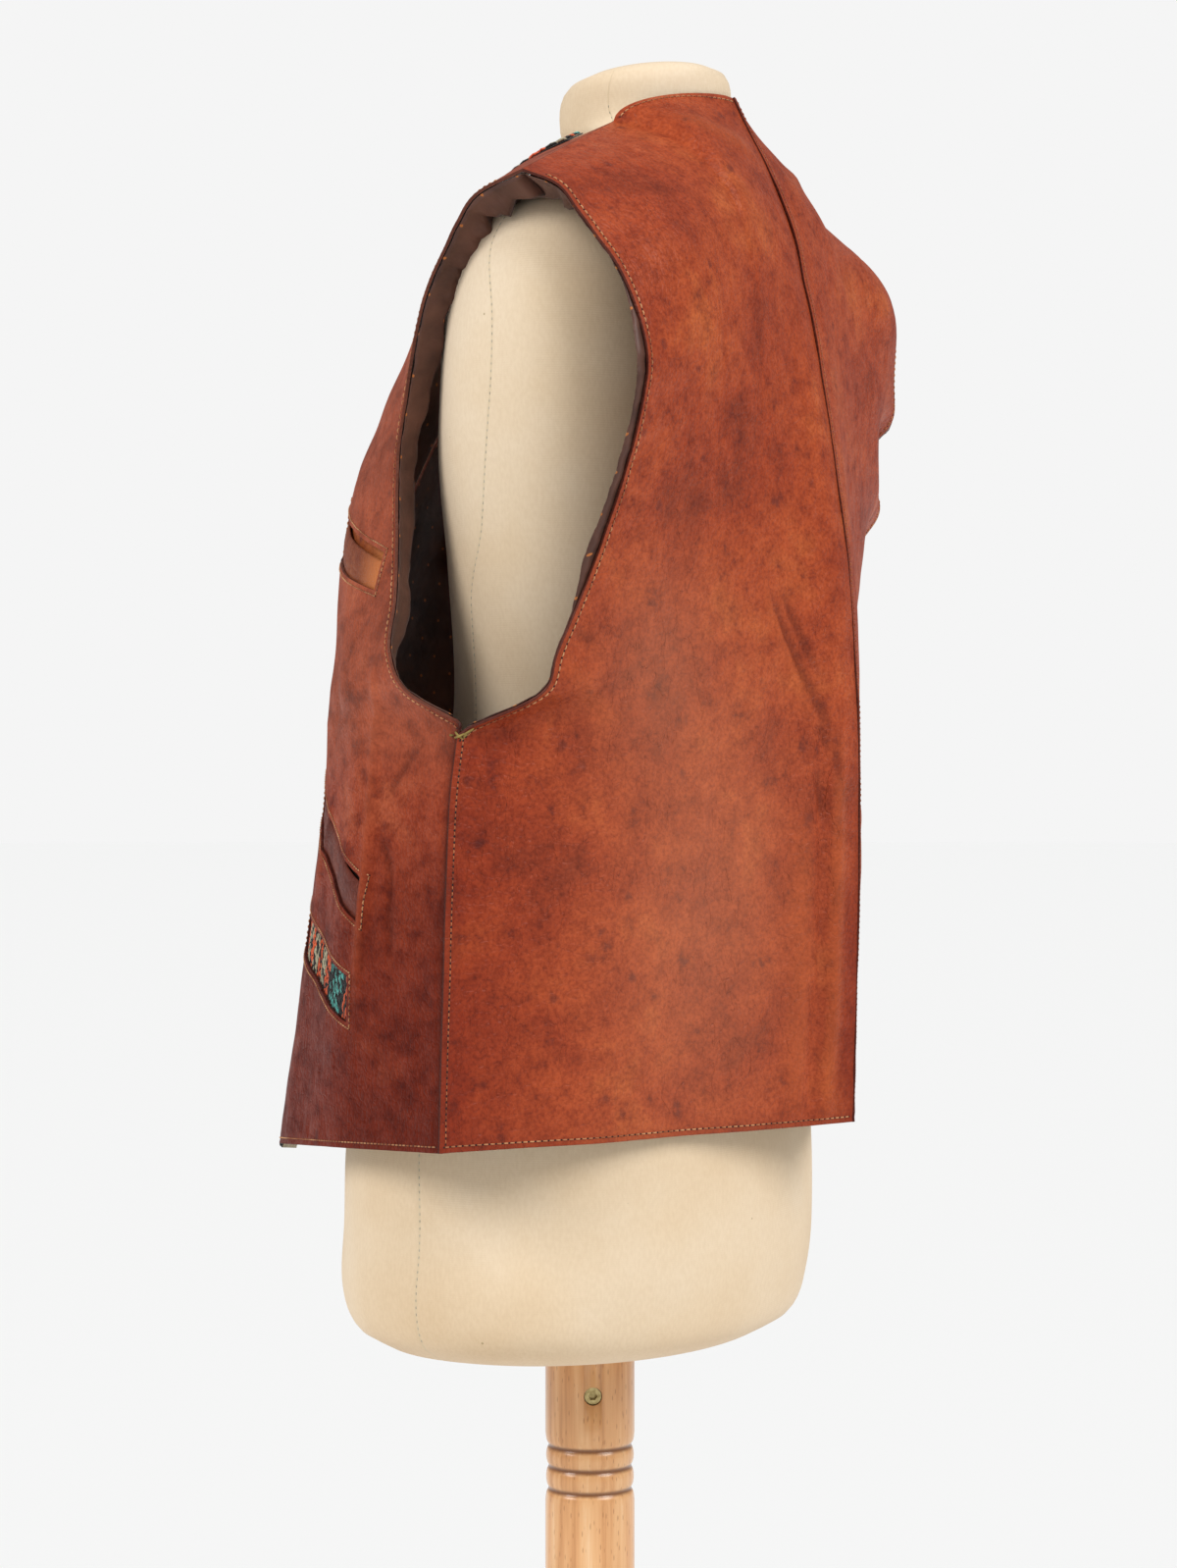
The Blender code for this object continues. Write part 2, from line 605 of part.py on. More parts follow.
def column():
    """The turned beech column, with its two beads and the recess for the screw."""
    top = CHEST_LINE + FORM_BOTTOM + SOCKET_DEPTH - PIECE_GAP
    outline = [(0.0, top), (COLUMN_RADIUS, top)]
    outline += [(COLUMN_RADIUS * turn.share, CHEST_LINE + turn.z) for turn in COLUMN_TURNS]
    outline += [(COLUMN_RADIUS, BASE_HEIGHT + PIECE_GAP), (0.0, BASE_HEIGHT + PIECE_GAP)]
    piece = turned("stand_column", outline, BEECH)
    recess = screw_solid("column_recess_cutter", RECESS_RADIUS, COLUMN_RADIUS - RECESS_DEPTH,
                         COLUMN_RADIUS + CUTTER_CLEAR, cutters)
    cut(piece, recess)
    return piece


def screw_solid(name, radius, near, far, collection, sides=24, material=None):
    """A round bar that points out of the column where its screw is."""
    piece = cylinder(name, radius, near, far, collection, sides, material)
    piece.rotation_euler = (0, math.pi / 2, SCREW_TURN)
    piece.location = (0, 0, CHEST_LINE + SCREW_HEIGHT)
    return piece


def column_screw():
    """The socket screw that clamps the form, sunk in the column."""
    screw = screw_solid("column_screw", SCREW_RADIUS, COLUMN_RADIUS - SCREW_END_DEPTH,
                        COLUMN_RADIUS - SCREW_FACE_DEPTH, parts, material=BRASS)
    hexagon = screw_solid("hexagon_cutter", HEXAGON_RADIUS, COLUMN_RADIUS - HEXAGON_DEPTH,
                          COLUMN_RADIUS, cutters, sides=6)
    cut(screw, hexagon)
    return screw


def base():
    """A plain round foot with a rounded upper edge."""
    outline = [(0.0, BASE_HEIGHT), (BASE_RADIUS - BASE_ROUNDING, BASE_HEIGHT)]
    for i in range(1, 5):
        turn = math.pi / 2 * i / 4
        outline.append((BASE_RADIUS - BASE_ROUNDING * (1 - math.sin(turn)),
                        BASE_HEIGHT - BASE_ROUNDING * (1 - math.cos(turn))))
    outline += [(BASE_RADIUS, 0.0), (0.0, 0.0)]
    return turned("stand_base", outline, BEECH, sides=48)


form_body()
column()
column_screw()
base()
leather_panel("back_left", back_left_panel, True)
leather_panel("back_right", back_right_panel, True)
front("left", front_left_panel)
front("right", front_right_panel)
armhole_lining("left", back_left_panel, front_left_panel)
armhole_lining("right", back_right_panel, front_right_panel)
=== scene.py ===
"""Looks of a hand-stained leather vest on a tailor's form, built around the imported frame.

Metres, +Z up. The wearer faces -Y and the wearer's left is +X. Heights in the tables are measured
from the chest line.
"""
import math
from collections import namedtuple

import bpy
import numpy as np
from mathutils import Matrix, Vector, noise
from mathutils.bvhtree import BVHTree


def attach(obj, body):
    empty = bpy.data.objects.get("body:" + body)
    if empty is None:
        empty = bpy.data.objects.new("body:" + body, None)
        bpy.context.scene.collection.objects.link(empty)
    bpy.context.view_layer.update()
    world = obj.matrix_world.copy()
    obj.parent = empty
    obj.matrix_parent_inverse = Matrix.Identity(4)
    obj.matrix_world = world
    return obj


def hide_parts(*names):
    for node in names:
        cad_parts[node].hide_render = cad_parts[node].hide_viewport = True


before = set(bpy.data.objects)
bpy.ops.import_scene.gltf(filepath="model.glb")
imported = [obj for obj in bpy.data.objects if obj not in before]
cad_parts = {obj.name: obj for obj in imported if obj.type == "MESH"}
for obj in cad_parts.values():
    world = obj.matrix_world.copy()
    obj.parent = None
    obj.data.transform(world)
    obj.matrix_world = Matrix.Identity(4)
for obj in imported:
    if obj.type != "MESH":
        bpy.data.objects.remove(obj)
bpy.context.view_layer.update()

CHEST_LINE = 1.12
BODY = "root"
RANDOM = np.random.default_rng(7)

# Camera: level at the chest line, behind the wearer's left side.
VIEW_AZIMUTH = math.radians(115)
VIEW_DISTANCE = 2.0
PHOTO_HEIGHT_PX, SHIFT_PX = 1598, -1.5
camera_data = bpy.data.cameras.new("camera")
camera_data.lens = 73.6
camera_data.sensor_width = 36
camera_data.shift_x = SHIFT_PX / PHOTO_HEIGHT_PX
camera = bpy.data.objects.new("camera", camera_data)
camera.location = (math.sin(VIEW_AZIMUTH) * VIEW_DISTANCE, -math.cos(VIEW_AZIMUTH) * VIEW_DISTANCE, CHEST_LINE)
camera.rotation_euler = (math.pi / 2, 0, VIEW_AZIMUTH)
bpy.context.scene.collection.objects.link(camera)
bpy.context.scene.camera = camera

# ---------- sizes, repeated from the part ----------
LEATHER = 0.0018
SIDE_HEM = -0.204
CENTRE_BACK_HEM = -0.203
FRONT_POINT_HEM = -0.231
SHOULDER_X = 0.200
SHOULDER_Y = 0.0515
SHOULDER_Z = 0.3452
NECK_X = SHOULDER_X * 5 / 13
NECK_Z = 0.3947
CENTRE_BACK_NECK_Y = 0.0965
CENTRE_BACK_NECK_Z = 0.4196
ARMHOLE_BOTTOM = 0.432
KILIM_STRIP_FROM = 11 / 13

Back = namedtuple("Back", "up edge_x edge_y quarter half three_quarter centre")
BACK_SECTIONS = [
    Back(0.000, 0.245, 0.0220, 0.066, 0.106, 0.143, 0.1745),
    Back(0.200, 0.243, 0.0240, 0.074, 0.113, 0.148, 0.1773),
    Back(0.360, 0.240, 0.0260, 0.084, 0.122, 0.152, 0.1770),
    Back(0.432, 0.236, 0.0290, 0.094, 0.129, 0.154, 0.1752),
    Back(0.467, 0.224, 0.0738, 0.104, 0.132, 0.155, 0.1740),
    Back(0.509, 0.218, 0.0823, 0.110, 0.135, 0.155, 0.1720),
    Back(0.565, 0.212, 0.0944, 0.118, 0.139, 0.155, 0.1685),
    Back(0.626, 0.209, 0.1067, 0.126, 0.141, 0.153, 0.1630),
    Back(0.700, 0.208, 0.1211, 0.134, 0.143, 0.150, 0.1560),
    Back(0.778, 0.208, 0.1317, 0.139, 0.143, 0.146, 0.1475),
    Back(0.814, 0.207, 0.1313, 0.139, 0.142, 0.1435, 0.1425),
    Back(0.856, 0.205, 0.1233, 0.136, 0.139, 0.139, 0.1370),
    Back(0.897, 0.204, 0.1121, 0.130, 0.133, 0.132, 0.1275),
    Back(0.933, 0.202, 0.0963, 0.116, 0.121, 0.119, 0.1175),
    Back(0.956, 0.201, 0.0861, 0.103, 0.108, 0.109, 0.1100),
    Back(0.983, 0.200, 0.0731, 0.080, 0.083, 0.091, 0.1015),
    Back(1.000, 0.200, 0.0515, 0.0515, 0.0515, 0.072, 0.0965),
]
Front = namedtuple("Front", "up edge_x edge_y quarter half three_quarter inner_x inner_y")
FRONT_SECTIONS = [
    Front(0.000, 0.245, 0.0220, -0.0636, -0.1310, -0.1770, 0.024, -0.1960),
    Front(0.200, 0.243, 0.0240, -0.0600, -0.1216, -0.1608, 0.019, -0.1780),
    Front(0.360, 0.240, 0.0260, -0.0540, -0.1126, -0.1496, 0.014, -0.1680),
    Front(0.432, 0.236, 0.0290, -0.0572, -0.1140, -0.1480, 0.011, -0.1650),
    Front(0.467, 0.2225, -0.0118, -0.0739, -0.1195, -0.1472, 0.008, -0.1630),
    Front(0.509, 0.209, -0.0295, -0.0823, -0.1210, -0.1470, 0.005, -0.1595),
    Front(0.565, 0.1955, -0.0333, -0.0866, -0.1234, -0.1462, 0.003, -0.1515),
    Front(0.626, 0.1815, -0.0397, -0.0901, -0.1250, -0.1427, 0.002, -0.1390),
    Front(0.700, 0.172, -0.0446, -0.0850, -0.1160, -0.1300, 0.002, -0.1165),
    Front(0.739, 0.1685, -0.0447, -0.0780, -0.1045, -0.1150, 0.003, -0.1030),
    Front(0.778, 0.167, -0.0416, -0.0700, -0.0920, -0.1020, 0.012, -0.0935),
    Front(0.814, 0.1675, -0.0380, -0.0580, -0.0755, -0.0865, 0.029, -0.0865),
    Front(0.856, 0.1725, -0.0305, -0.0460, -0.0600, -0.0720, 0.041, -0.0745),
    Front(0.897, 0.1785, -0.0200, -0.0315, -0.0425, -0.0552, 0.054, -0.0560),
    Front(0.933, 0.184, -0.0060, -0.0155, -0.0254, -0.0381, 0.067, -0.0320),
    Front(0.956, 0.188, 0.0034, -0.0026, -0.0128, -0.0200, 0.0715, -0.0125),
    Front(0.983, 0.193, 0.0195, 0.0180, 0.0158, 0.0130, 0.0755, 0.0180),
    Front(1.000, 0.200, 0.0515, 0.0515, 0.0515, 0.0515, NECK_X, 0.0515),
]
Fold = namedtuple("Fold", "across up reach_across reach_up out")
LEFT_BACK_FOLDS = [
    Fold(0.92, 0.45, 0.08, 0.30, 0.0040),
    Fold(0.77, 0.30, 0.08, 0.22, -0.0030),
    Fold(0.34, 0.12, 0.09, 0.20, 0.0035),
    Fold(0.56, 0.08, 0.09, 0.13, -0.0030),
]
RIGHT_BACK_FOLDS = [
    Fold(0.05, 0.925, 0.34, 0.055, 0.024),
    Fold(0.00, 0.765, 0.17, 0.040, -0.029),
    Fold(0.00, 0.650, 0.20, 0.045, -0.012),
    Fold(0.90, 0.50, 0.09, 0.28, 0.0030),
    Fold(0.45, 0.10, 0.09, 0.16, 0.0040),
]
FRONT_FOLDS = [Fold(0.30, 0.30, 0.09, 0.24, 0.0040), Fold(0.52, 0.16, 0.10, 0.15, -0.0030)]
Window = namedtuple("Window", "name outer_x outer_z inner_x inner_z outer_height inner_height")
WINDOWS = [
    Window("chest", 0.173, 0.1238, 0.074, 0.1575, 0.022, 0.033),
    Window("waist", 0.190, -0.0670, 0.078, -0.0070, 0.026, 0.024),
    Window("inset", 0.184, -0.1250, 0.076, -0.0865, 0.027, 0.026),
]
WINDOW_GROW = 0.004
WELT_SHARES = {"chest": 0.76, "waist": 0.84}
Section = namedtuple("Section", "z half_width front back centre_y roundness")
FORM_SECTIONS = [
    Section(-0.338, 0.148, 0.109, 0.109, -0.008, 2.1),
    Section(-0.328, 0.165, 0.126, 0.126, -0.008, 2.1),
    Section(-0.305, 0.173, 0.1345, 0.1345, -0.008, 2.1),
    Section(-0.270, 0.174, 0.136, 0.136, -0.0055, 2.1),
    Section(-0.200, 0.172, 0.133, 0.133, -0.004, 2.1),
    Section(-0.110, 0.156, 0.112, 0.112, 0.006, 2.1),
    Section(-0.030, 0.148, 0.096, 0.096, 0.018, 2.1),
    Section(0.0500, 0.153, 0.092, 0.092, 0.028, 2.1),
    Section(0.1300, 0.169, 0.097, 0.097, 0.033, 2.1),
    Section(0.1900, 0.180, 0.101, 0.101, 0.034, 2.1),
    Section(0.2400, 0.186, 0.099, 0.099, 0.036, 2.1),
    Section(0.2800, 0.186, 0.101, 0.093, 0.040, 2.1),
    Section(0.3080, 0.180, 0.096, 0.086, 0.041, 2.1),
    Section(0.3300, 0.168, 0.088, 0.077, 0.045, 2.1),
    Section(0.3480, 0.145, 0.073, 0.067, 0.047, 2.0),
    Section(0.3660, 0.130, 0.068, 0.058, 0.050, 1.7),
    Section(0.3828, 0.098, 0.058, 0.050, 0.0515, 1.3),
    Section(0.3905, 0.0775, 0.055, 0.045, 0.0515, 1.3),
    Section(0.3980, 0.058, 0.058, 0.050, 0.044, 1.8),
    Section(0.4080, 0.053, 0.053, 0.053, 0.038, 2.0),
    Section(0.4240, 0.0525, 0.0525, 0.0525, 0.038, 2.0),
    Section(0.4325, 0.048, 0.048, 0.048, 0.039, 2.0),
    Section(0.4360, 0.040, 0.040, 0.040, 0.040, 2.0),
]
NECK_RISE = 0.09
NECK_RISE_FROM = 0.408
COLUMN_RADIUS = 0.0278
COLUMN_TOP = -0.338 + 0.045 - 0.0003
BASE_RADIUS = 0.19
BASE_HEIGHT = 0.030
STAND_GAP = 0.0003
SCREW_HEIGHT = -0.377
SCREW_TURN = math.radians(29)
RECESS_RADIUS, RECESS_DEPTH = 0.0056, 0.009
Turn = namedtuple("Turn", "z share")
COLUMN_TURNS = [
    Turn(-0.4035, 1.0), Turn(-0.4085, 0.975), Turn(-0.4113, 0.925), Turn(-0.4140, 0.965),
    Turn(-0.4178, 0.985), Turn(-0.4216, 0.965), Turn(-0.4243, 0.925), Turn(-0.4270, 0.965),
    Turn(-0.4312, 0.985), Turn(-0.4355, 0.965), Turn(-0.4382, 0.925), Turn(-0.4410, 0.975),
    Turn(-0.4460, 1.0),
]

# Creases worn into the leather. run is the distance from the centre back or the free edge, height is
# from the chest line, width is half the crease's, and lift is how far it stands out, or in below 0.
Crease = namedtuple("Crease", "run height to_run to_height width lift")
BACK_CREASES = [
    Crease(0.062, 0.110, 0.037, 0.069, 0.0028, -0.0015),
    Crease(0.072, 0.106, 0.029, 0.036, 0.0032, -0.0020),
    Crease(0.080, 0.112, 0.044, 0.048, 0.0050, 0.0018),
    Crease(0.035, 0.035, 0.028, 0.022, 0.0026, -0.0013),
    Crease(0.024, 0.021, 0.020, 0.005, 0.0026, -0.0012),
    Crease(0.036, 0.007, 0.031, -0.018, 0.0028, -0.0014),
    Crease(0.032, 0.020, 0.030, -0.112, 0.0048, -0.0026),
    Crease(0.030, -0.112, 0.034, -0.200, 0.0055, -0.0022),
    Crease(0.020, 0.010, 0.021, -0.190, 0.0060, 0.0024),
    Crease(0.046, -0.030, 0.047, -0.190, 0.0100, 0.0014),
    Crease(0.231, 0.084, 0.216, 0.078, 0.0030, -0.0012),
    Crease(0.245, 0.045, 0.212, 0.020, 0.0050, -0.0014),
    Crease(0.238, 0.070, 0.196, 0.036, 0.0060, 0.0012),
    Crease(0.070, 0.394, 0.022, 0.383, 0.0070, 0.0018),
    Crease(0.118, 0.020, 0.108, -0.120, 0.0090, -0.0012),
    Crease(0.170, 0.150, 0.150, 0.060, 0.0090, -0.0010),
]
FRONT_CREASES = [
    Crease(0.226, 0.067, 0.214, 0.022, 0.0045, 0.0016),
    Crease(0.214, 0.022, 0.213, -0.114, 0.0050, 0.0015),
    Crease(0.222, 0.010, 0.224, -0.100, 0.0060, -0.0012),
    Crease(0.230, -0.032, 0.243, -0.048, 0.0028, -0.0014),
    Crease(0.243, -0.048, 0.250, -0.094, 0.0028, -0.0015),
    Crease(0.222, -0.089, 0.215, -0.093, 0.0022, -0.0012),
    Crease(0.220, -0.094, 0.219, -0.109, 0.0022, -0.0010),
    Crease(0.262, 0.020, 0.236, -0.004, 0.0040, -0.0013),
    Crease(0.150, 0.060, 0.120, 0.020, 0.0080, -0.0014),
    Crease(0.120, -0.020, 0.100, -0.060, 0.0070, 0.0014),
    Crease(0.100, 0.210, 0.070, 0.140, 0.0080, -0.0012),
]
SHARP_CREASE = 0.0042
SMALL_WRINKLES = 110

# Rows and columns of points on each leather panel: about 2.6 mm apart.
ACROSS = np.linspace(0, 1, 101)
LOW_ROWS, HIGH_ROWS = 92, 138
UPS = np.concatenate([
    ARMHOLE_BOTTOM * np.arange(LOW_ROWS) / LOW_ROWS,
    ARMHOLE_BOTTOM + (1 - ARMHOLE_BOTTOM) * (np.arange(HIGH_ROWS + 1) / HIGH_ROWS) ** 1.12,
])

# Unevenness of the leather, as (height, size): broad waves, fine waves, and puckers beside the sewing.
BROAD_WAVES, FINE_WAVES, PUCKERS = (0.0007, 0.055), (0.0003, 0.016), (0.00045, 0.006)
# Creases fade out this near an edge, since the sewing holds it straight.
EDGE_FADE = 0.008
STITCH_DENT, STITCH_DENT_WIDTH = 0.00035, 0.0012
LAP_WIDTH, LAP_SLOPE = 0.0045, 0.003
CUT_EDGE_ROUNDING = 0.0003

# Where stitches run: in from an edge, in from the side seam, and out from a window.
STITCH_IN, SEAM_STITCH_IN, WINDOW_STITCH_OUT = 0.0034, 0.0036, 0.0028
# A needle hole is drawn as a flat dark cone, from just over the leather to a little inside it. Its dark colour is
# the painted shade inside the hole.
HOLE_OUT, HOLE_SUNK = 0.00018, 0.0004
# Stations along a bent yarn: share of its length, share of its arch, and share of its radius.
YARN_STATIONS = [(0.0, -0.7, 0.35), (0.14, 0.35, 0.85), (0.5, 1.0, 1.0), (0.86, 0.35, 0.85), (1.0, -0.7, 0.35)]


# ---------- materials ----------
def colour(code):
    """An sRGB hex colour as linear numbers."""
    channels = [int(code[i:i + 2], 16) / 255 for i in (1, 3, 5)]
    return (*[c / 12.92 if c <= 0.04045 else ((c + 0.055) / 1.055) ** 2.4 for c in channels], 1.0)


def wire(node, inputs):
    """Sets a node's inputs, by socket name or number, to values or to other nodes' outputs."""
    for key, value in inputs.items():
        if isinstance(value, bpy.types.NodeSocket):
            node.id_data.links.new(value, node.inputs[key])
        else:
            node.inputs[key].default_value = value


def add(tree, kind, inputs=None, out=0, stops=(), **settings):
    """Adds a node and gives one of its outputs. settings are its properties, and stops are a colour
    ramp's places and hex colours."""
    made = tree.nodes.new("ShaderNode" + kind)
    for key, value in settings.items():
        setattr(made, key, value)
    for _ in stops[2:]:
        made.color_ramp.elements.new(0.5)
    for element, (place, code) in zip(made.color_ramp.elements if stops else (), stops):
        element.position = place
        element.color = colour(code)
    wire(made, inputs or {})
    return made.outputs[out]


def layered(tree, base, layers):
    """A base colour under layers of others, each as where it lies (None is all over), its strength,
    its colour and its blend."""
    for where, strength, over, blend in layers:
        if where is None:
            where = strength
        elif strength != 1:
            where = add(tree, "Math", {0: where, 1: strength}, operation="MULTIPLY")
        base = add(tree, "Mix", {0: where, 6: base, 7: over}, 2, data_type="RGBA", blend_type=blend)
    return base


def new_material(name):
    """A material, its node tree and its shader."""
    material = bpy.data.materials.new(name)
    material.use_nodes = True
    return material, material.node_tree, material.node_tree.nodes["Principled BSDF"]


def per_metre(millimetres):
    """A pattern's scale for features of that size."""
    return 1000 / millimetres


def stained_leather(name, dark, middle, light, bright, roughness, deep_tint="#C08C80", sideways=1.0,
                    mottling=0.40, gloss_level=0.17):
    """Vegetable-tanned hide, brushed with spirit stain and waxed: cloudy warm browns with darker,
    purplish blotches, spots and edges, lighter where creases are rubbed, and a soft satin gloss. Painted shade
    darkens its creases and the step where the back laps over the front, and a painted highlight lies among its
    pale patches.
    deep_tint is what the stain turns to where the panel was stained longer, and sideways is how much
    wider than tall its clouds were brushed."""
    material, tree, shader = new_material(name)
    place = add(tree, "TexCoord", out="Object")

    def strayed(size, reach):
        """The place, moved about by a noise of that size, so that what is drawn there is uneven."""
        stray = add(tree, "TexNoise", {"Vector": place, "Scale": per_metre(size), "Detail": 2}, "Color")
        return add(tree, "VectorMath", {0: stray, 1: reach, 2: place}, operation="MULTIPLY_ADD")

    brushed = add(tree, "Mapping", {"Vector": place, "Scale": (1 / sideways, 1 / sideways, 1)})
    clouds = add(tree, "TexNoise", {"Vector": brushed, "Scale": per_metre(60), "Detail": 6, "Roughness": 0.58,
                                    "Distortion": 0.25})
    blotches = add(tree, "TexNoise", {"Vector": brushed, "Scale": per_metre(12), "Detail": 7, "Roughness": 0.62,
                                      "Distortion": 0.2})
    specks = add(tree, "TexNoise", {"Vector": place, "Scale": per_metre(2.2), "Detail": 3, "Roughness": 0.6})
    base = add(tree, "ValToRGB", {0: clouds}, stops=[(0.27, dark), (0.42, middle), (0.58, light), (0.72, bright)])
    mottle = add(tree, "ValToRGB", {0: blotches}, stops=[(0.38, "#A8786A"), (0.52, "#E8DCD8"), (0.64, "#FFFFFF")])
    blotch = add(tree, "ValToRGB", {0: blotches}, stops=[(0.29, "#FFFFFF"), (0.39, "#000000")])
    speck = add(tree, "ValToRGB", {0: specks}, stops=[(0.30, "#C2A89E"), (0.60, "#FFFFFF")])
    # A few round stain spots, 4 to 6 mm across, with soft uneven edges.
    spots = add(tree, "TexVoronoi", {"Vector": strayed(6, (0.005, 0.005, 0.008)), "Scale": per_metre(30)})
    spot = add(tree, "ValToRGB", {0: spots}, stops=[(0.05, "#FFFFFF"), (0.13, "#000000")])
    # Thin creases, along the middle values of a soft noise, in patches. Flat coordinates keep them upright.
    upright = add(tree, "Mapping", {"Vector": add(tree, "TexCoord", out="UV"), "Rotation": (0, 0, 0.12),
                                    "Scale": (1, 0.42, 1)})
    soft_creases = add(tree, "TexNoise", {"Vector": upright, "Scale": per_metre(15), "Detail": 3,
                                          "Roughness": 0.55})
    from_line = add(tree, "Math", {0: soft_creases, 1: 0.5}, operation="SUBTRACT")
    from_line = add(tree, "Math", {0: from_line}, operation="ABSOLUTE")
    line = add(tree, "MapRange", {"Value": from_line, "From Max": 0.022, "To Min": 1, "To Max": 0})
    patch = add(tree, "ValToRGB", {0: clouds}, stops=[(0.44, "#FFFFFF"), (0.56, "#3A3A3A")])
    line = add(tree, "Math", {0: line, 1: patch}, operation="MULTIPLY")
    worn = {part: add(tree, "Attribute", out="Fac", attribute_name=part)
            for part in ("pale", "deep", "edge", "rubbed", "sunk")}
    base = layered(tree, base, [
        (None, mottling, mottle, "MULTIPLY"),
        (blotch, 0.6, colour("#5E2622"), "MIX"),
        (spot, 0.55, colour("#5E2622"), "MIX"),
        (None, 0.75, speck, "MULTIPLY"),
        # Lighter patches: paler from the wax, and a painted highlight near the bottom of the back's armhole.
        (worn["pale"], 1, colour("#F2B892"), "SCREEN"),
        (worn["deep"], 0.85, colour(deep_tint), "MULTIPLY"),
        # Painted shade in the thin creases.
        (line, 0.09, colour(dark), "MIX"),
        (worn["edge"], 0.4, colour(dark), "MIX"),
        (worn["rubbed"], 1, colour(bright), "MIX"),
        # Painted shade in the sharp creases' troughs and in the step where the back laps over the front.
        (worn["sunk"], 1, colour("#3A1712"), "MIX"),
    ])
    gloss = add(tree, "MapRange", {"Value": blotches, "From Min": 0.3, "From Max": 0.7,
                                   "To Min": roughness + 0.09, "To Max": roughness - 0.07})
    # Hide grain: pebbles near 1.6 mm, in cells of fine wrinkles near 5 mm, both drawn a little coarse to show.
    moved = strayed(9, (0.006, 0.006, 0.006))
    pebbles = add(tree, "TexVoronoi", {"Vector": moved, "Scale": per_metre(1.9)}, feature="SMOOTH_F1")
    cells = add(tree, "TexVoronoi", {"Vector": moved, "Scale": per_metre(5.5)}, feature="DISTANCE_TO_EDGE")
    wrinkle = add(tree, "MapRange", {"Value": cells, "From Max": 0.14})
    below = {}
    for height, strength, distance, sinks in ((pebbles, 0.48, 0.0005, False), (wrinkle, 0.42, 0.0005, False),
                                              (soft_creases, 0.40, 0.004, False), (line, 0.50, 0.0009, True)):
        below = {"Normal": add(tree, "Bump", {"Height": height, "Strength": strength, "Distance": distance,
                                              **below}, invert=sinks)}
    wire(shader, {"Base Color": base, "Roughness": gloss, "IOR": 1.48, "Specular IOR Level": gloss_level,
                  **below})
    return material


def lining_satin():
    """Polyester satin in brown: a smooth sheen, with small dull gold dots 17 mm apart."""
    material, tree, shader = new_material("brown_dotted_satin")
    place, flat = add(tree, "TexCoord", out="Object"), add(tree, "TexCoord", out="UV")
    slanted = add(tree, "Mapping", {"Vector": flat, "Rotation": (0, 0, math.radians(45))})
    dots = add(tree, "TexVoronoi", {"Vector": slanted, "Scale": per_metre(17), "Randomness": 0.15},
               voronoi_dimensions="2D")
    dot = add(tree, "ValToRGB", {0: dots}, stops=[(0.045, "#FFFFFF"), (0.065, "#000000")])
    cloud = add(tree, "TexNoise", {"Vector": place, "Scale": per_metre(22), "Detail": 3})
    ground = add(tree, "ValToRGB", {0: cloud}, stops=[(0.3, "#40241A"), (0.7, "#664032")])
    slubs = add(tree, "TexNoise", {"Vector": flat, "Scale": per_metre(5), "Detail": 2})
    wire(shader, {"Base Color": layered(tree, ground, [(dot, 1, colour("#B4682C"), "MIX")]), "IOR": 1.5,
                  "Roughness": 0.46, "Specular IOR Level": 0.32, "Sheen Weight": 0.08,
                  "Normal": add(tree, "Bump", {"Height": slubs, "Strength": 0.35, "Distance": 0.0012})})
    return material


def canvas():
    """Unbleached cotton canvas, drawn tight and glued: matte cream with a short felted nap and a
    little yellowing. Its threads are 0.5 mm apart and drawn at 1.3 mm, so that they show."""
    material, tree, shader = new_material("cream_canvas_cover")
    place = add(tree, "TexCoord", out="Object")
    yellowing = add(tree, "TexNoise", {"Vector": place, "Scale": per_metre(110), "Detail": 4})
    base = add(tree, "ValToRGB", {0: yellowing}, stops=[(0.3, "#DFC5A2"), (0.5, "#E6CFAF"), (0.7, "#EBD7BB")])
    long_way = add(tree, "Mapping", {"Vector": place, "Scale": (1, 1, 0.5)})
    slubs = add(tree, "TexNoise", {"Vector": long_way, "Scale": per_metre(1.8), "Detail": 3})
    slub = add(tree, "ValToRGB", {0: slubs}, stops=[(0.35, "#E4DACB"), (0.65, "#FFFFFF")])
    nap = add(tree, "TexVoronoi", {"Vector": place, "Scale": per_metre(26)})
    fleck = add(tree, "ValToRGB", {0: nap}, stops=[(0.022, "#FFFFFF"), (0.035, "#000000")])
    seam = add(tree, "Attribute", out="Fac", attribute_name="seam")
    base = layered(tree, base, [(None, 0.2, slub, "MULTIPLY"), (fleck, 1, colour("#B49C78"), "MIX"),
                                (seam, 1, colour("#D6C4A4"), "MIX")])
    weave = add(tree, "TexWave", {"Vector": place, "Scale": per_metre(1.3) / math.tau * 2, "Distortion": 1.2,
                                  "Detail": 1}, "Fac", bands_direction="Z")
    bump = add(tree, "Bump", {"Height": weave, "Strength": 0.10, "Distance": 0.0003})
    bump = add(tree, "Bump", {"Height": slubs, "Strength": 0.16, "Distance": 0.0005, "Normal": bump})
    wire(shader, {"Base Color": base, "Roughness": 0.88, "Sheen Weight": 0.12, "Specular IOR Level": 0.22,
                  "Normal": bump})
    return material


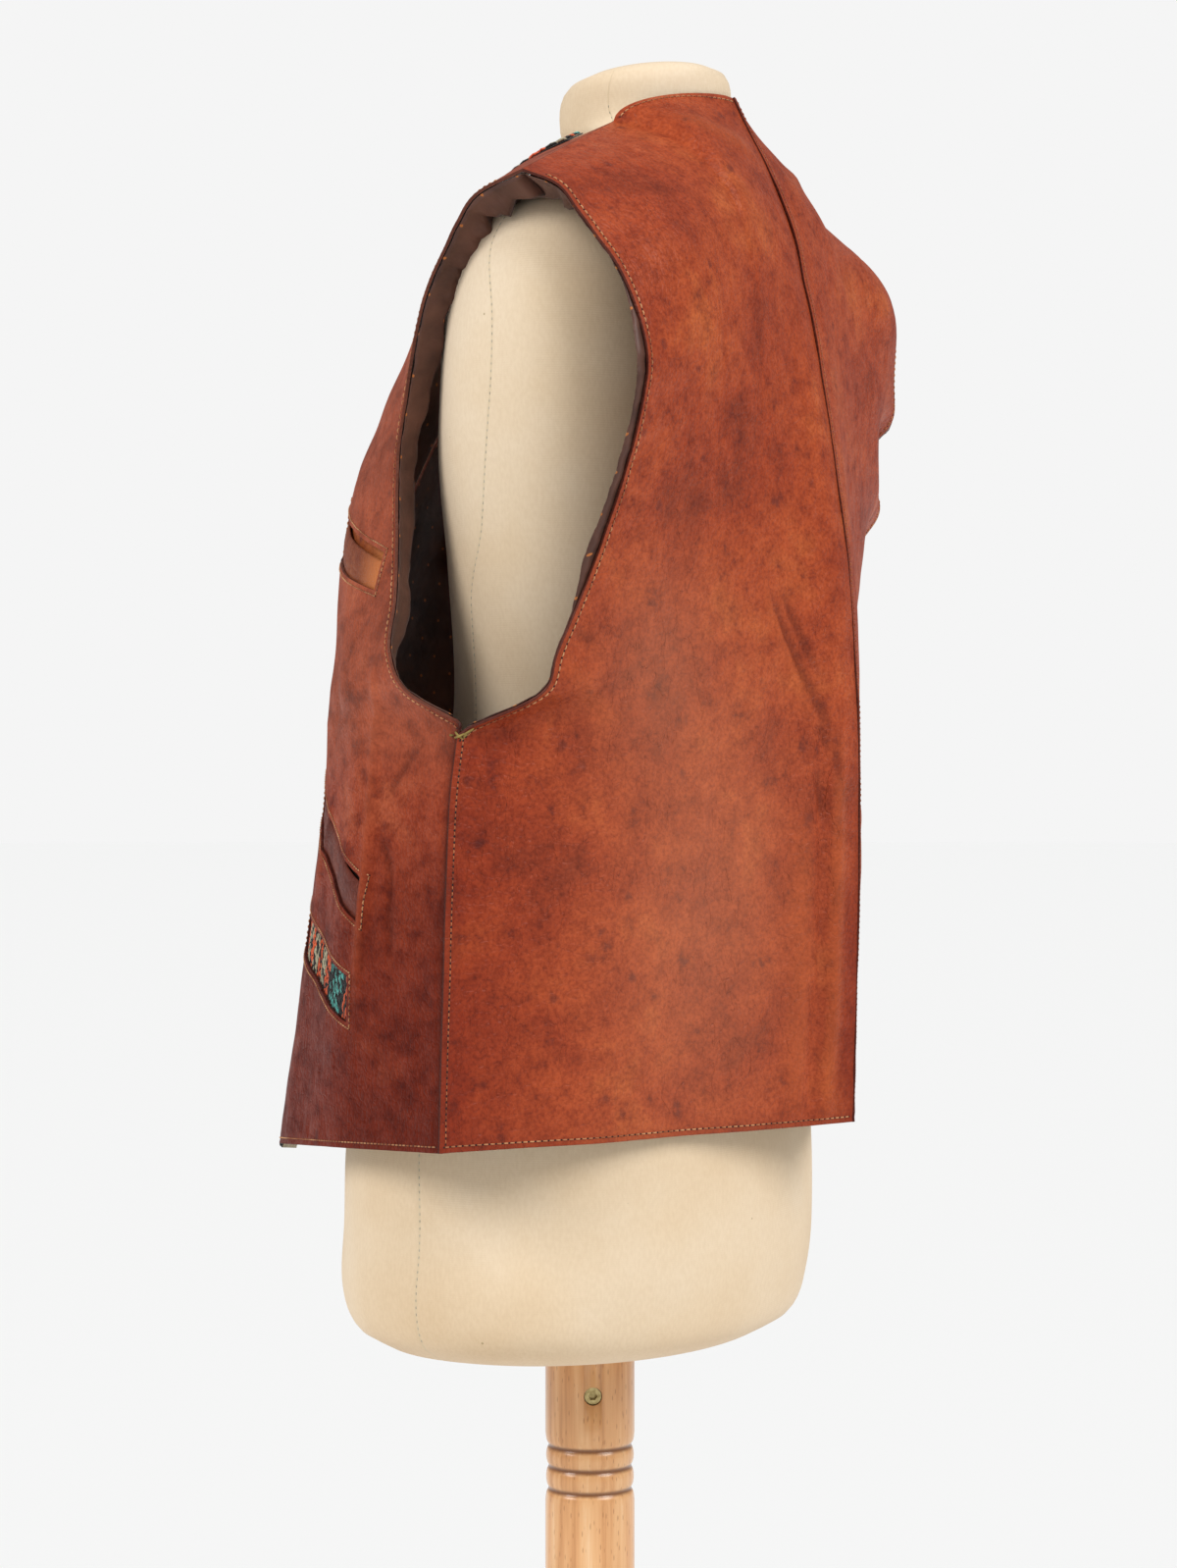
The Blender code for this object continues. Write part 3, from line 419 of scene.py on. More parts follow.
def varnished_beech(name, streak, fleck):
    """Steamed beech, turned, sanded and satin-varnished: orange-tan with straight streaks and the
    short brown flecks of its rays, each about 3 mm long. streak and fleck squeeze each along the grain."""
    material, tree, shader = new_material(name)
    place = add(tree, "TexCoord", out="Object")
    along, beside = (add(tree, "Mapping", {"Vector": place, "Scale": squeeze}) for squeeze in (streak, fleck))
    streaks = add(tree, "TexNoise", {"Vector": along, "Scale": per_metre(7), "Detail": 5, "Roughness": 0.6,
                                     "Distortion": 0.3})
    base = add(tree, "ValToRGB", {0: streaks},
               stops=[(0.28, "#BE8450"), (0.45, "#D79E68"), (0.60, "#E2B07C"), (0.78, "#EDCAA0")])
    rays = add(tree, "TexVoronoi", {"Vector": beside, "Scale": per_metre(2.1)})
    ray = add(tree, "ValToRGB", {0: rays}, stops=[(0.12, "#FFFFFF"), (0.24, "#000000")])
    # Painted shade in the turned grooves.
    groove = add(tree, "Attribute", out="Fac", attribute_name="groove")
    wire(shader, {"Base Color": layered(tree, base, [(ray, 0.5, colour("#9A6234"), "MIX"),
                                                     (groove, 1, colour("#7A4A22"), "MIX")]),
                  "IOR": 1.5, "Roughness": 0.32, "Coat Weight": 0.35, "Coat Roughness": 0.18,
                  "Normal": add(tree, "Bump", {"Height": streaks, "Strength": 0.08, "Distance": 0.0004})})
    return material


def wool(name, code, dark):
    """Hand-spun dyed wool: matte, with lighter and darker fibres."""
    material, tree, shader = new_material(name)
    place = add(tree, "TexCoord", out="Object")
    fibres = add(tree, "TexNoise", {"Vector": place, "Scale": per_metre(1.6), "Detail": 3})
    wire(shader, {"Base Color": add(tree, "ValToRGB", {0: fibres}, stops=[(0.35, dark), (0.62, code)]),
                  "Roughness": 0.95, "Sheen Weight": 0.35, "Sheen Roughness": 0.6, "Specular IOR Level": 0.2,
                  "Normal": add(tree, "Bump", {"Height": fibres, "Strength": 0.5, "Distance": 0.0006})})
    return material


def waxed_thread(name, code, dark):
    """Waxed linen thread: twisted, matte, a little dirty."""
    material, tree, shader = new_material(name)
    place = add(tree, "TexCoord", out="Object")
    dirt = add(tree, "TexNoise", {"Vector": place, "Scale": per_metre(14), "Detail": 3})
    wire(shader, {"Base Color": add(tree, "ValToRGB", {0: dirt}, stops=[(0.38, dark), (0.60, code)]),
                  "Roughness": 0.7, "Specular IOR Level": 0.3})
    return material


def aged_brass():
    """Cast brass, tumbled and left to dull: pale yellow with a soft shine."""
    material, tree, shader = new_material("aged_brass")
    place = add(tree, "TexCoord", out="Object")
    tarnish = add(tree, "TexNoise", {"Vector": place, "Scale": per_metre(3), "Detail": 4})
    wire(shader, {"Base Color": add(tree, "ValToRGB", {0: tarnish}, stops=[(0.3, "#8F7A4C"), (0.7, "#CDBB86")]),
                  "Roughness": add(tree, "MapRange", {"Value": tarnish, "To Min": 0.45, "To Max": 0.25}),
                  "Metallic": 1})
    return material


def plain(name, code, roughness):
    """One even colour, for the floor and for what is too small to show a pattern."""
    material, _, shader = new_material(name)
    wire(shader, {"Base Color": colour(code), "Roughness": roughness})
    return material


BACK_LEATHER = stained_leather("stained_leather_back", "#883820", "#A84625", "#B6522B", "#C46434", 0.44)
FRONT_LEATHER = stained_leather("stained_leather_front", "#722A1A", "#984026", "#A84B2E", "#BC6240", 0.46,
                                deep_tint="#A87A66", sideways=1.9, mottling=0.62, gloss_level=0.06)
WELT_LEATHER = stained_leather("stained_leather_welt", "#6E3422", "#8B4A30", "#96522F", "#C4733F", 0.50)
WAIST_WELT_LEATHER = stained_leather("stained_leather_waist_welt", "#56261D", "#6E3325", "#7B3B28", "#8E4E37",
                                     0.48)
INNER_LEATHER = stained_leather("raw_leather_inside", "#8E4523", "#A55527", "#B3612F", "#BE7440", 0.62)
# Near black: painted shade of the gap behind the waist welt.
POCKET_SHADE_LEATHER = stained_leather("stained_leather_inside", "#160B09", "#21110D", "#2B1812", "#38211A", 0.60)
CUT_EDGE = stained_leather("burnished_cut_edge", "#4E2319", "#632C20", "#703526", "#7E4331", 0.52)
SATIN = lining_satin()
CANVAS = canvas()
COLUMN_BEECH = varnished_beech("varnished_beech_column", (1, 1, 0.045), (1, 1, 0.22))
BASE_BEECH = varnished_beech("varnished_beech_foot", (0.06, 1, 1), (0.22, 1, 1))
TAN_THREAD = waxed_thread("waxed_thread_tan", "#C89468", "#965A3A")
SEAM_THREAD = waxed_thread("waxed_thread_reddish", "#B07048", "#7E4026")
OLIVE_THREAD = waxed_thread("waxed_thread_olive", "#A8924E", "#6E5A2C")
GREY_THREAD = waxed_thread("cotton_thread_grey", "#B4AC9C", "#948C7C")
# Painted shade inside the needle holes.
NEEDLE_HOLE_SHADE = plain("needle_hole", "#1E0E0C", 0.9)
WOOLS = [wool("kilim_wool_black", "#1E1A19", "#0D0B0B"), wool("kilim_wool_orange", "#E8602A", "#A8401A"),
         wool("kilim_wool_turquoise", "#5FB6AA", "#30706A"), wool("kilim_wool_cream", "#BDB394", "#7E765C")]
BRASS = aged_brass()


# ---------- shapes ----------
def curve_through(values, knots, at):
    """A smooth curve through values at uneven knots, read at many places."""
    values, knots = np.asarray(values, float), np.asarray(knots, float)
    at = np.clip(at, knots[0], knots[-1])
    last = len(knots) - 1
    k = np.clip(np.searchsorted(knots, at, side="right") - 1, 0, last - 1)
    low, high = np.maximum(np.arange(last + 1) - 1, 0), np.minimum(np.arange(last + 1) + 1, last)
    slopes = (values[high] - values[low]) / (knots[high] - knots[low])
    span = knots[k + 1] - knots[k]
    t = (at - knots[k]) / span
    return ((2 * t**3 - 3 * t**2 + 1) * values[k] + (t**3 - 2 * t**2 + t) * slopes[k] * span
            + (3 * t**2 - 2 * t**3) * values[k + 1] + (t**3 - t**2) * slopes[k + 1] * span)


def column_of(table, name, places, by="up"):
    """One column of a table, read at many places of another."""
    return curve_through([getattr(row, name) for row in table], [getattr(row, by) for row in table], places)


def edge_of(table, name, ups):
    """The side seam below the armhole and the armhole's edge above it, with a corner between them."""
    below = column_of([row for row in table if row.up <= ARMHOLE_BOTTOM], name, ups)
    above = column_of([row for row in table if row.up >= ARMHOLE_BOTTOM], name, ups)
    return np.where(ups <= ARMHOLE_BOTTOM, below, above)


def depths_of(table, last, ups, across):
    """How far back a panel stands, from its columns of depths."""
    columns = [edge_of(table, "edge_y", ups)]
    columns += [column_of(table, name, ups) for name in ("quarter", "half", "three_quarter", last)]
    return np.array([curve_through(row, [0, 0.25, 0.5, 0.75, 1], across) for row in np.stack(columns, axis=1)])


def back_surface(across, ups):
    """Points of a left back panel, before its folds."""
    x = edge_of(BACK_SECTIONS, "edge_x", ups)[:, None] * (1 - across)
    y = depths_of(BACK_SECTIONS, "centre", ups, across)
    round_neck = np.clip(1 - x / NECK_X, 0, 1)
    neckline = SHOULDER_Y + (CENTRE_BACK_NECK_Y - SHOULDER_Y) * (1 - (1 - round_neck) ** 1.5)
    near_top = np.clip((ups - 0.966) / 0.034, 0, 1)[:, None] ** 2
    y = y + (neckline[-1] - y[-1]) * near_top
    top = np.where(x > NECK_X,
                   NECK_Z + (SHOULDER_Z - NECK_Z) * (x - NECK_X) / (SHOULDER_X - NECK_X),
                   NECK_Z + (CENTRE_BACK_NECK_Z - NECK_Z) * np.sqrt(np.clip(1 - (x / NECK_X) ** 2, 0, 1)))
    hem = SIDE_HEM + (CENTRE_BACK_HEM - SIDE_HEM) * across
    return np.stack([x, y, CHEST_LINE + hem + (top - hem) * ups[:, None]], axis=2)


def front_surface(across, ups):
    """Points of a left front panel, before its folds."""
    edge_x = edge_of(FRONT_SECTIONS, "edge_x", ups)[:, None]
    x = edge_x + (column_of(FRONT_SECTIONS, "inner_x", ups)[:, None] - edge_x) * across
    hem = SIDE_HEM + (FRONT_POINT_HEM - SIDE_HEM) * across
    top = SHOULDER_Z + (NECK_Z - SHOULDER_Z) * across
    return np.stack([x, depths_of(FRONT_SECTIONS, "inner_y", ups, across),
                     CHEST_LINE + hem + (top - hem) * ups[:, None]], axis=2)


def smooth(share):
    """Eases a share from 0 to 1."""
    share = np.clip(share, 0, 1)
    return share * share * (3 - 2 * share)


def bell(off, reach):
    """1 in the middle, falling softly to 0 past its reach."""
    return np.exp(-(off / reach) ** 2)


def unit(vector):
    """A vector at length 1."""
    return vector / np.linalg.norm(vector)


def facing(points, outward):
    """Which way each point of a grid faces, and the sign that turns the grid's own order outward."""
    normal = np.cross(np.gradient(points, axis=1), np.gradient(points, axis=0))
    normal /= np.maximum(np.linalg.norm(normal, axis=2, keepdims=True), 1e-12)
    sign = 1 if np.sum(normal * np.asarray(outward)) > 0 else -1
    return normal * sign, sign


def distance_to(points, line):
    """Distance of each grid point to the nearest point of a line."""
    return np.array([np.min(np.linalg.norm(row[:, None] - line[None], axis=2), axis=1) for row in points])


def soft_noise(points, size, seed):
    """Smooth unevenness of about one size, from -1 to 1."""
    shift = Vector((seed * 3.1, seed * 1.7, seed * 0.9))
    values = [noise.noise(Vector(point) / size + shift) for point in points.reshape(-1, 3)]
    return np.array(values).reshape(points.shape[:-1])


def crease_lift(creases, run, height):
    """How far all creases together lift each point."""
    total = np.zeros_like(run)
    for crease in creases:
        dx, dz = crease.to_run - crease.run, crease.to_height - crease.height
        share = ((run - crease.run) * dx + (height - crease.height) * dz) / (dx * dx + dz * dz)
        share = np.clip(share, -0.25, 1.25)
        off = np.hypot(run - crease.run - share * dx, height - crease.height - share * dz)
        fade = smooth((share + 0.25) / 0.5) * smooth((1.25 - share) / 0.5)
        total += crease.lift * fade * bell(off, crease.width)
    return total


def small_wrinkles(run, height):
    """Short fine wrinkles, mostly upright or slanted, uneven in length and depth."""
    made = []
    for _ in range(SMALL_WRINKLES):
        r, h = RANDOM.uniform(0.01, run.max() - 0.01), RANDOM.uniform(height.min() + 0.01, height.max() - 0.01)
        lean, length = RANDOM.normal(0, 0.55), RANDOM.uniform(0.007, 0.026)
        made.append(Crease(r, h, r + math.sin(lean) * length, h + math.cos(lean) * length,
                           RANDOM.uniform(0.0011, 0.0024), -RANDOM.uniform(0.00015, 0.0006)))
    return crease_lift(made, run, height)


def mesh_object(name, points, faces, materials, edges=()):
    """An object of the scene, from its points and faces."""
    mesh = bpy.data.meshes.new(name)
    mesh.from_pydata([tuple(point) for point in points], edges, [tuple(map(int, face)) for face in faces])
    for material in materials:
        mesh.materials.append(material)
    made = bpy.data.objects.new(name, mesh)
    bpy.context.scene.collection.objects.link(made)
    return made


def show(name, points, faces, materials, replaces=None, edges=(), indices=None, smooth_shading=True):
    """One piece of the vest or stand, riding on the part's body, and the node that it replaces."""
    piece = mesh_object(name, points, faces, materials, edges)
    if indices is not None:
        piece.data.polygons.foreach_set("material_index", np.asarray(indices, dtype=np.int32))
    if smooth_shading:
        piece.data.shade_smooth()
    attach(piece, BODY)
    if replaces:
        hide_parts(replaces)
    return piece


def point_values(piece, name, values):
    """Stores a number for each of a piece's points, for its material to read."""
    layer = piece.data.attributes.new(name, "FLOAT", "POINT")
    layer.data.foreach_set("value", np.asarray(values, dtype=np.float32).ravel())


def lay_flat(piece, run, height):
    """Gives a piece flat coordinates in metres, for woven patterns."""
    layer = piece.data.uv_layers.new(name="flat")
    corners = np.empty(len(piece.data.loops), dtype=np.int32)
    piece.data.loops.foreach_get("vertex_index", corners)
    flat = np.stack([np.ravel(run)[corners], np.ravel(height)[corners]], axis=1)
    layer.data.foreach_set("uv", flat.astype(np.float32).ravel())


def thicken(piece, thickness, inner=0, rim=0, rounding=0.0):
    """Gives a sheet its real thickness, inward, with its own inner and edge materials."""
    solid = piece.modifiers.new("thickness", "SOLIDIFY")
    solid.thickness = thickness
    solid.offset = -1
    solid.use_even_offset = False
    solid.material_offset = inner
    solid.material_offset_rim = rim
    if rounding:
        bevel = piece.modifiers.new("rounding", "BEVEL")
        bevel.width = rounding
        bevel.segments = 2
        bevel.limit_method = "ANGLE"
        bevel.angle_limit = math.radians(60)


def grid_faces(rows, columns, sign):
    """Four-sided faces of a grid, in order, facing out."""
    corner = np.arange(rows * columns).reshape(rows, columns)
    faces = np.stack([corner[:-1, :-1], corner[:-1, 1:], corner[1:, 1:], corner[1:, :-1]], axis=2).reshape(-1, 4)
    return faces if sign > 0 else faces[:, ::-1]


def tube_faces(rings, sides):
    """Four-sided faces of a tube, ring by ring, facing out."""
    corner = np.arange(rings * sides).reshape(rings, sides)
    turned = np.roll(corner, -1, axis=1)
    return np.stack([corner[:-1], turned[:-1], turned[1:], corner[1:]], axis=2).reshape(-1, 4)


def across_window(window, x):
    """The share along a window from its outer end, and its middle and half height there."""
    along = (window.outer_x - x) / (window.outer_x - window.inner_x)
    middle = window.outer_z + (window.inner_z - window.outer_z) * along
    return along, middle, (window.outer_height + (window.inner_height - window.outer_height) * along) / 2


def inside_window(window, x, z):
    """Shares along a window, 0 to 1 from its outer end, and up from its middle, -1 to 1."""
    along, middle, half = across_window(window, x)
    return along, (z - middle) / half


def edge_lines(points):
    """The edges of a panel's grid, by name."""
    return {"side": points[:LOW_ROWS + 1, 0], "armhole": points[LOW_ROWS:, 0], "hem": points[0],
            "top": points[-1], "inner": points[:, -1]}


class Panel:
    """One cut piece of leather as a fine grid, from which everything on it is placed."""

    def __init__(self, name, surface, side, outward, folds, creases, laps):
        self.name, self.side = name, side
        outward = np.array(outward) * [side, 1, 1]
        points = surface(ACROSS, UPS) * [side, 1, 1]
        normal, sign = facing(points, outward)
        lift = sum(fold.out * bell(ACROSS - fold.across, fold.reach_across)
                   * bell(UPS - fold.up, fold.reach_up)[:, None] for fold in folds)
        keep_top = smooth((1 - UPS) / 0.03)[:, None]
        points = points + normal * (lift * keep_top)[..., None]
        steps = np.linalg.norm(np.diff(points, axis=1), axis=2)
        self.run = np.concatenate([np.cumsum(steps[:, ::-1], axis=1)[:, ::-1], np.zeros((len(UPS), 1))], axis=1)
        self.height = points[..., 2] - CHEST_LINE
        self.off = {edge: distance_to(points, line) for edge, line in edge_lines(points).items()}
        self.relief = crease_lift(creases, self.run, self.height) + small_wrinkles(self.run, self.height)
        self.relief = self.relief * smooth(np.minimum.reduce(list(self.off.values())) / EDGE_FADE)
        self.sharp_relief = crease_lift([c for c in creases if c.width < SHARP_CREASE], self.run, self.height)
        waves = (BROAD_WAVES[0] * soft_noise(points, BROAD_WAVES[1], side)
                 + FINE_WAVES[0] * soft_noise(points, FINE_WAVES[1], side + 4))
        by_sewing = bell(self.off["hem"] - 0.008, 0.008) + 0.6 * bell(self.off["armhole"] - 0.006, 0.006)
        puckers = PUCKERS[0] * soft_noise(points * [1, 1, 0.25], PUCKERS[1], side + 9) * by_sewing
        dents = sum(STITCH_DENT * bell(self.off[edge] - STITCH_IN, STITCH_DENT_WIDTH)
                    for edge in ("armhole", "hem"))
        lapped = sum(lap * smooth(1 - (self.off[edge] - LAP_WIDTH) / LAP_SLOPE) for edge, lap in laps.items())
        total = (self.relief + waves + puckers - dents) * keep_top + lapped
        self.points = points + facing(points, outward)[0] * total[..., None]
        self.normals = facing(self.points, outward)[0]
        self.lines = edge_lines(self.points)
        self.faces = grid_faces(len(UPS), len(ACROSS), sign)
        self.flat_points, self.flat_normals = self.points.reshape(-1, 3), self.normals.reshape(-1, 3)
        self.tree = BVHTree.FromPolygons([Vector(p) for p in self.flat_points],
                                         [tuple(map(int, face)) for face in self.faces])

    def at(self, x, z, out=0.0):
        """The point of a front at a distance from the middle and a height, moved out, and its facing."""
        place, _, face, _ = self.tree.ray_cast(Vector((x * self.side, -1, z + CHEST_LINE)), Vector((0, 1, 0)))
        corners = self.faces[face]
        nearness = 1 / (np.linalg.norm(self.flat_points[corners] - np.array(place), axis=1) + 1e-6)
        even = unit((self.flat_normals[corners] * nearness[:, None]).sum(axis=0))
        return np.array(place) + even * out, even

    def near(self, point):
        """The nearest point on the leather, and its facing."""
        place, _, face, _ = self.tree.find_nearest(Vector(point))
        return np.array(place), unit(self.flat_normals[self.faces[face]].mean(axis=0))

    def line_inside(self, edge, distance, start=0, end=None):
        """A line on the leather at a distance inside one of its edges, with its facing."""
        line = self.lines[edge][start:end]
        middle = self.points[len(UPS) // 2, len(ACROSS) // 2]
        made = []
        for point, way in zip(line, np.gradient(line, axis=0)):
            inward = unit(np.cross(self.near(point)[1], way))
            if edge in ("hem", "top"):
                wanted = [0, 0, 1 if edge == "hem" else -1]
            else:
                # Under the arm the armhole's edge runs level, and the leather lies below it.
                under_arm = edge == "armhole" and point[2] < CHEST_LINE + 0.09
                wanted = (middle - point) * [1, 1, 0] - [0, 0, 0.15 * under_arm]
            if np.dot(inward, wanted) < 0:
                inward = -inward
            made.append(np.concatenate(self.near(point + inward * distance)))
        return np.array(made)


def stain(panel):
    """How deep the stain is, 0 to 1: deepest at the back's side seam and toward the front's hem."""
    if panel.name.startswith("back"):
        low = smooth((0.0 - panel.height) / 0.10)
        return np.clip(np.exp(-panel.off["side"] / 0.045) * (0.75 + 0.25 * low)
                       + np.exp(-panel.run / 0.030) * low * 0.9, 0, 1)
    return np.clip(smooth((0.02 - panel.height) / 0.16) * 0.95, 0, 1)


def paleness_and_highlight(panel):
    """How much lighter the leather is drawn, 0 to 1: paler from the wax low and in the middle of the back and on
    the chest, and a painted highlight near the bottom of the back's armhole.
    """
    if panel.name.startswith("back"):
        return (0.11 * bell(panel.run - 0.120, 0.070) * bell(panel.height + 0.075, 0.130)
                # A painted highlight near the bottom of the back's armhole.
                + 0.09 * bell(panel.run - 0.170, 0.045) * bell(panel.height - 0.070, 0.060))
    return 0.06 * smooth((panel.height + 0.02) / 0.06)


def finish_panel(panel, leather, windows):
    """The panel's own piece: leather outside, satin inside, a burnished cut edge, and its windows."""
    points, faces = panel.flat_points.copy(), panel.faces
    centres = points[faces].mean(axis=1)
    x, z = centres[:, 0] * panel.side, centres[:, 2] - CHEST_LINE
    keep = np.ones(len(faces), bool)
    for window in windows:
        along, up = inside_window(window, x, z)
        hole = (along > 0) & (along < 1) & (np.abs(up) < 1) & (centres[:, 1] < 0)
        keep &= ~hole
        snap_to_window(panel, window, points, np.intersect1d(faces[hole].ravel(), faces[~hole].ravel()))
    used = np.unique(faces[keep].ravel())
    renumber = np.zeros(len(points), int)
    renumber[used] = np.arange(len(used))
    piece = show("leather_" + panel.name, points[used], renumber[faces[keep]], [leather, SATIN, CUT_EDGE],
                 panel.name)
    nearest = np.minimum.reduce([panel.off[edge] for edge in ("side", "armhole", "hem", "inner")])
    # Painted shade in the troughs of the sharp creases.
    sunk = np.clip(-panel.sharp_relief / 0.0030, 0, 0.42)
    if panel.name.startswith("front"):
        # The back laps over the front here, and its shadow lies in the step.
        sunk = np.maximum(sunk, 0.9 * bell(panel.off["side"], 0.0036))
    for name, values in (("edge", np.exp(-nearest / 0.0045)), ("rubbed", np.clip(panel.relief / 0.0060, 0, 0.25)),
                         ("sunk", sunk), ("deep", stain(panel)), ("pale", paleness_and_highlight(panel))):
        point_values(piece, name, values.ravel()[used])
    lay_flat(piece, panel.run.ravel()[used], panel.height.ravel()[used])
    thicken(piece, LEATHER, inner=1, rim=2, rounding=CUT_EDGE_ROUNDING)


def snap_to_window(panel, window, points, rim):
    """Moves the points round a hole onto the window's straight edges and corners."""
    length = window.outer_x - window.inner_x
    half = (window.outer_height + window.inner_height) / 4
    along, up = inside_window(window, points[rim, 0] * panel.side, points[rim, 2] - CHEST_LINE)
    gaps = [np.abs(along) * length, np.abs(1 - along) * length, np.abs(1 - up) * half, np.abs(1 + up) * half]
    side = np.argmin(np.stack(gaps), axis=0)
    along = np.where(side == 0, 0, np.where(side == 1, 1, np.clip(along, 0, 1)))
    up = np.where(side == 2, 1, np.where(side == 3, -1, np.clip(up, -1, 1)))
    for corner_along in (0, 1):
        for corner_up in (-1, 1):
            nearest = np.argmin(np.hypot((along - corner_along) * length, (up - corner_up) * half))
            along[nearest], up[nearest] = corner_along, corner_up
    for index, a, u in zip(rim, along, up):
        x = window.outer_x - length * a
        _, middle, reach = across_window(window, x)
        points[index] = panel.at(x, middle + reach * u)[0]


def resample(line, pitch):
    """Points along a line one pitch apart. Each row is a place and its facing."""
    gone = np.concatenate([[0], np.cumsum(np.linalg.norm(np.diff(line[:, :3], axis=0), axis=1))])
    wanted = np.linspace(0, gone[-1], max(int(gone[-1] / pitch), 1) + 1)
    return np.stack([np.interp(wanted, gone, line[:, k]) for k in range(6)], axis=1)


def yarns(starts, ends, normals, radius, arch, sides=6, flatness=1.0):
    """Short bent lengths of yarn or thread from start to end, standing up by arch at their middle. Their
    long faces come first, yarn by yarn, and then their two ends."""
    starts, ends, normals = np.asarray(starts), np.asarray(ends), np.asarray(normals)
    way = (ends - starts) / np.linalg.norm(ends - starts, axis=1, keepdims=True)
    across = np.cross(way, normals)
    across /= np.linalg.norm(across, axis=1, keepdims=True)
    up = np.cross(across, way)
    rings = []
    radius = np.broadcast_to(np.asarray(radius, float), (len(starts),))[:, None]
    for share, rise, width in YARN_STATIONS:
        centre = starts + (ends - starts) * share + up * (arch * rise)
        for turn in np.arange(sides) * math.tau / sides:
            rings.append(centre + (across * math.cos(turn) + up * math.sin(turn) * flatness) * radius * width)
    each = len(YARN_STATIONS) * sides
    offsets = np.arange(len(starts)) * each
    faces = list((tube_faces(len(YARN_STATIONS), sides)[None] + offsets[:, None, None]).reshape(-1, 4))
    for offset in offsets:
        faces.append(offset + np.arange(sides)[::-1])
        faces.append(offset + each - sides + np.arange(sides))
    return np.stack(rings, axis=1).reshape(-1, 3), faces


# One kind of sewing: how far apart its stitches are, its thread and the thread's radius, the radius of
# its needle holes, and the share of its pitch that a stitch fills.
Sewing = namedtuple("Sewing", "pitch thread radius hole reach")
HEM_SEWING = Sewing(0.0041, TAN_THREAD, 0.00045, 0.00068, 0.72)
WINDOW_SEWING = Sewing(0.0033, TAN_THREAD, 0.00045, 0.00068, 0.72)
SIDE_SEWING = Sewing(0.0033, SEAM_THREAD, 0.00038, 0.00072, 0.62)
CENTRE_SEWING = Sewing(0.0033, SEAM_THREAD, 0.00030, 0.00050, 0.62)
FORM_SEWING = Sewing(0.0042, GREY_THREAD, 0.00034, 0, 0.5)


def sew(name, lines, sewing):
    """A row of stitches along each line, and the dark needle holes between them."""
    rows = [resample(line, sewing.pitch) for line in lines]
    here, there = (np.concatenate([row[span] for row in rows]) for span in (slice(None, -1), slice(1, None)))
    spare = (there - here)[:, :3] * (1 - sewing.reach) / 2
    points, faces = yarns(here[:, :3] + spare, there[:, :3] - spare, (here + there)[:, 3:] / 2,
                          sewing.radius, sewing.radius * 0.75)
    show("stitches_" + name, points, faces, [sewing.thread])
    if not sewing.hole:
        return
    points, faces = [], []
    for row in np.concatenate(rows):
        place, up = row[:3], unit(row[3:])
        across = unit(np.cross(up, [0.3, 0.1, 1.0]))
        back = np.cross(up, across)
        start = len(points)
        for k in range(6):
            turn = math.tau * k / 6
            points.append(place + (across * math.cos(turn) + back * math.sin(turn)) * sewing.hole)
            here, there = start + k, start + (k + 1) % 6
            faces += [(here, there, start + 6), (there, here, start + 7)]
        points += [place + up * HOLE_OUT, place - up * HOLE_SUNK]
    show("needle_holes_" + name, points, faces, [NEEDLE_HOLE_SHADE], smooth_shading=False)


# ---------- the vest ----------
BACK_OUT = (0.35, 1.0, 0.15)
FRONT_OUT = (0.65, -1.0, 0.15)
# The right side's creases are like the left's, a little moved and softer.
other_back_creases = [
    c._replace(run=c.run * 0.92 + 0.004, height=c.height - 0.012, to_run=c.to_run * 0.95 + 0.002,
               to_height=c.to_height - 0.018, lift=c.lift * 0.85) for c in BACK_CREASES]
other_front_creases = [
    c._replace(run=c.run * 0.96, height=c.height + 0.010, to_run=c.to_run * 0.94,
               to_height=c.to_height + 0.004, lift=c.lift * 0.9) for c in FRONT_CREASES]
back_left = Panel("back_left", back_surface, 1, BACK_OUT, LEFT_BACK_FOLDS, BACK_CREASES,
                  {"side": 0.0010, "inner": -0.0004})
back_right = Panel("back_right", back_surface, -1, BACK_OUT, RIGHT_BACK_FOLDS, other_back_creases,
                   {"side": 0.0010, "inner": 0.0009})
front_left = Panel("front_left", front_surface, 1, FRONT_OUT, FRONT_FOLDS, FRONT_CREASES,
                   {"side": -0.0006})
front_right = Panel("front_right", front_surface, -1, FRONT_OUT, FRONT_FOLDS, other_front_creases,
                    {"side": -0.0006})
BACKS, FRONTS = (back_left, back_right), (front_left, front_right)
for panel in BACKS:
    finish_panel(panel, BACK_LEATHER, [])
for panel in FRONTS:
    finish_panel(panel, FRONT_LEATHER, WINDOWS)


def window_line(panel, window, out):
    """The outline that the stitches follow round a window."""
    corners = []
    for x, up in ((window.outer_x + out, -1), (window.outer_x + out, 1), (window.inner_x - out, 1),
                  (window.inner_x - out, -1), (window.outer_x + out, -1)):
        _, middle, half = across_window(window, x)
        corners.append((x, middle + (half + out) * up))
    shares = np.linspace(0, 1, 24)
    return [np.array([np.concatenate(panel.at(x + (to_x - x) * t, z + (to_z - z) * t)) for t in shares])
            for (x, z), (to_x, to_z) in zip(corners, corners[1:])]


def place_behind(panel, window, share_along, share_up, top_share, out):
    """A place behind a window, from just past its outer end and bottom edge. The piece there ends at
    top_share of the window's height, or just past its top edge where that is 1."""
    length = window.outer_x - window.inner_x
    x = window.outer_x + WINDOW_GROW - (length + 2 * WINDOW_GROW) * share_along
    _, middle, half = across_window(window, x)
    bottom = middle - half - WINDOW_GROW
    top = middle + half + WINDOW_GROW if top_share == 1 else middle + half * (2 * top_share - 1)
    return panel.at(x, bottom + (top - bottom) * share_up, out)


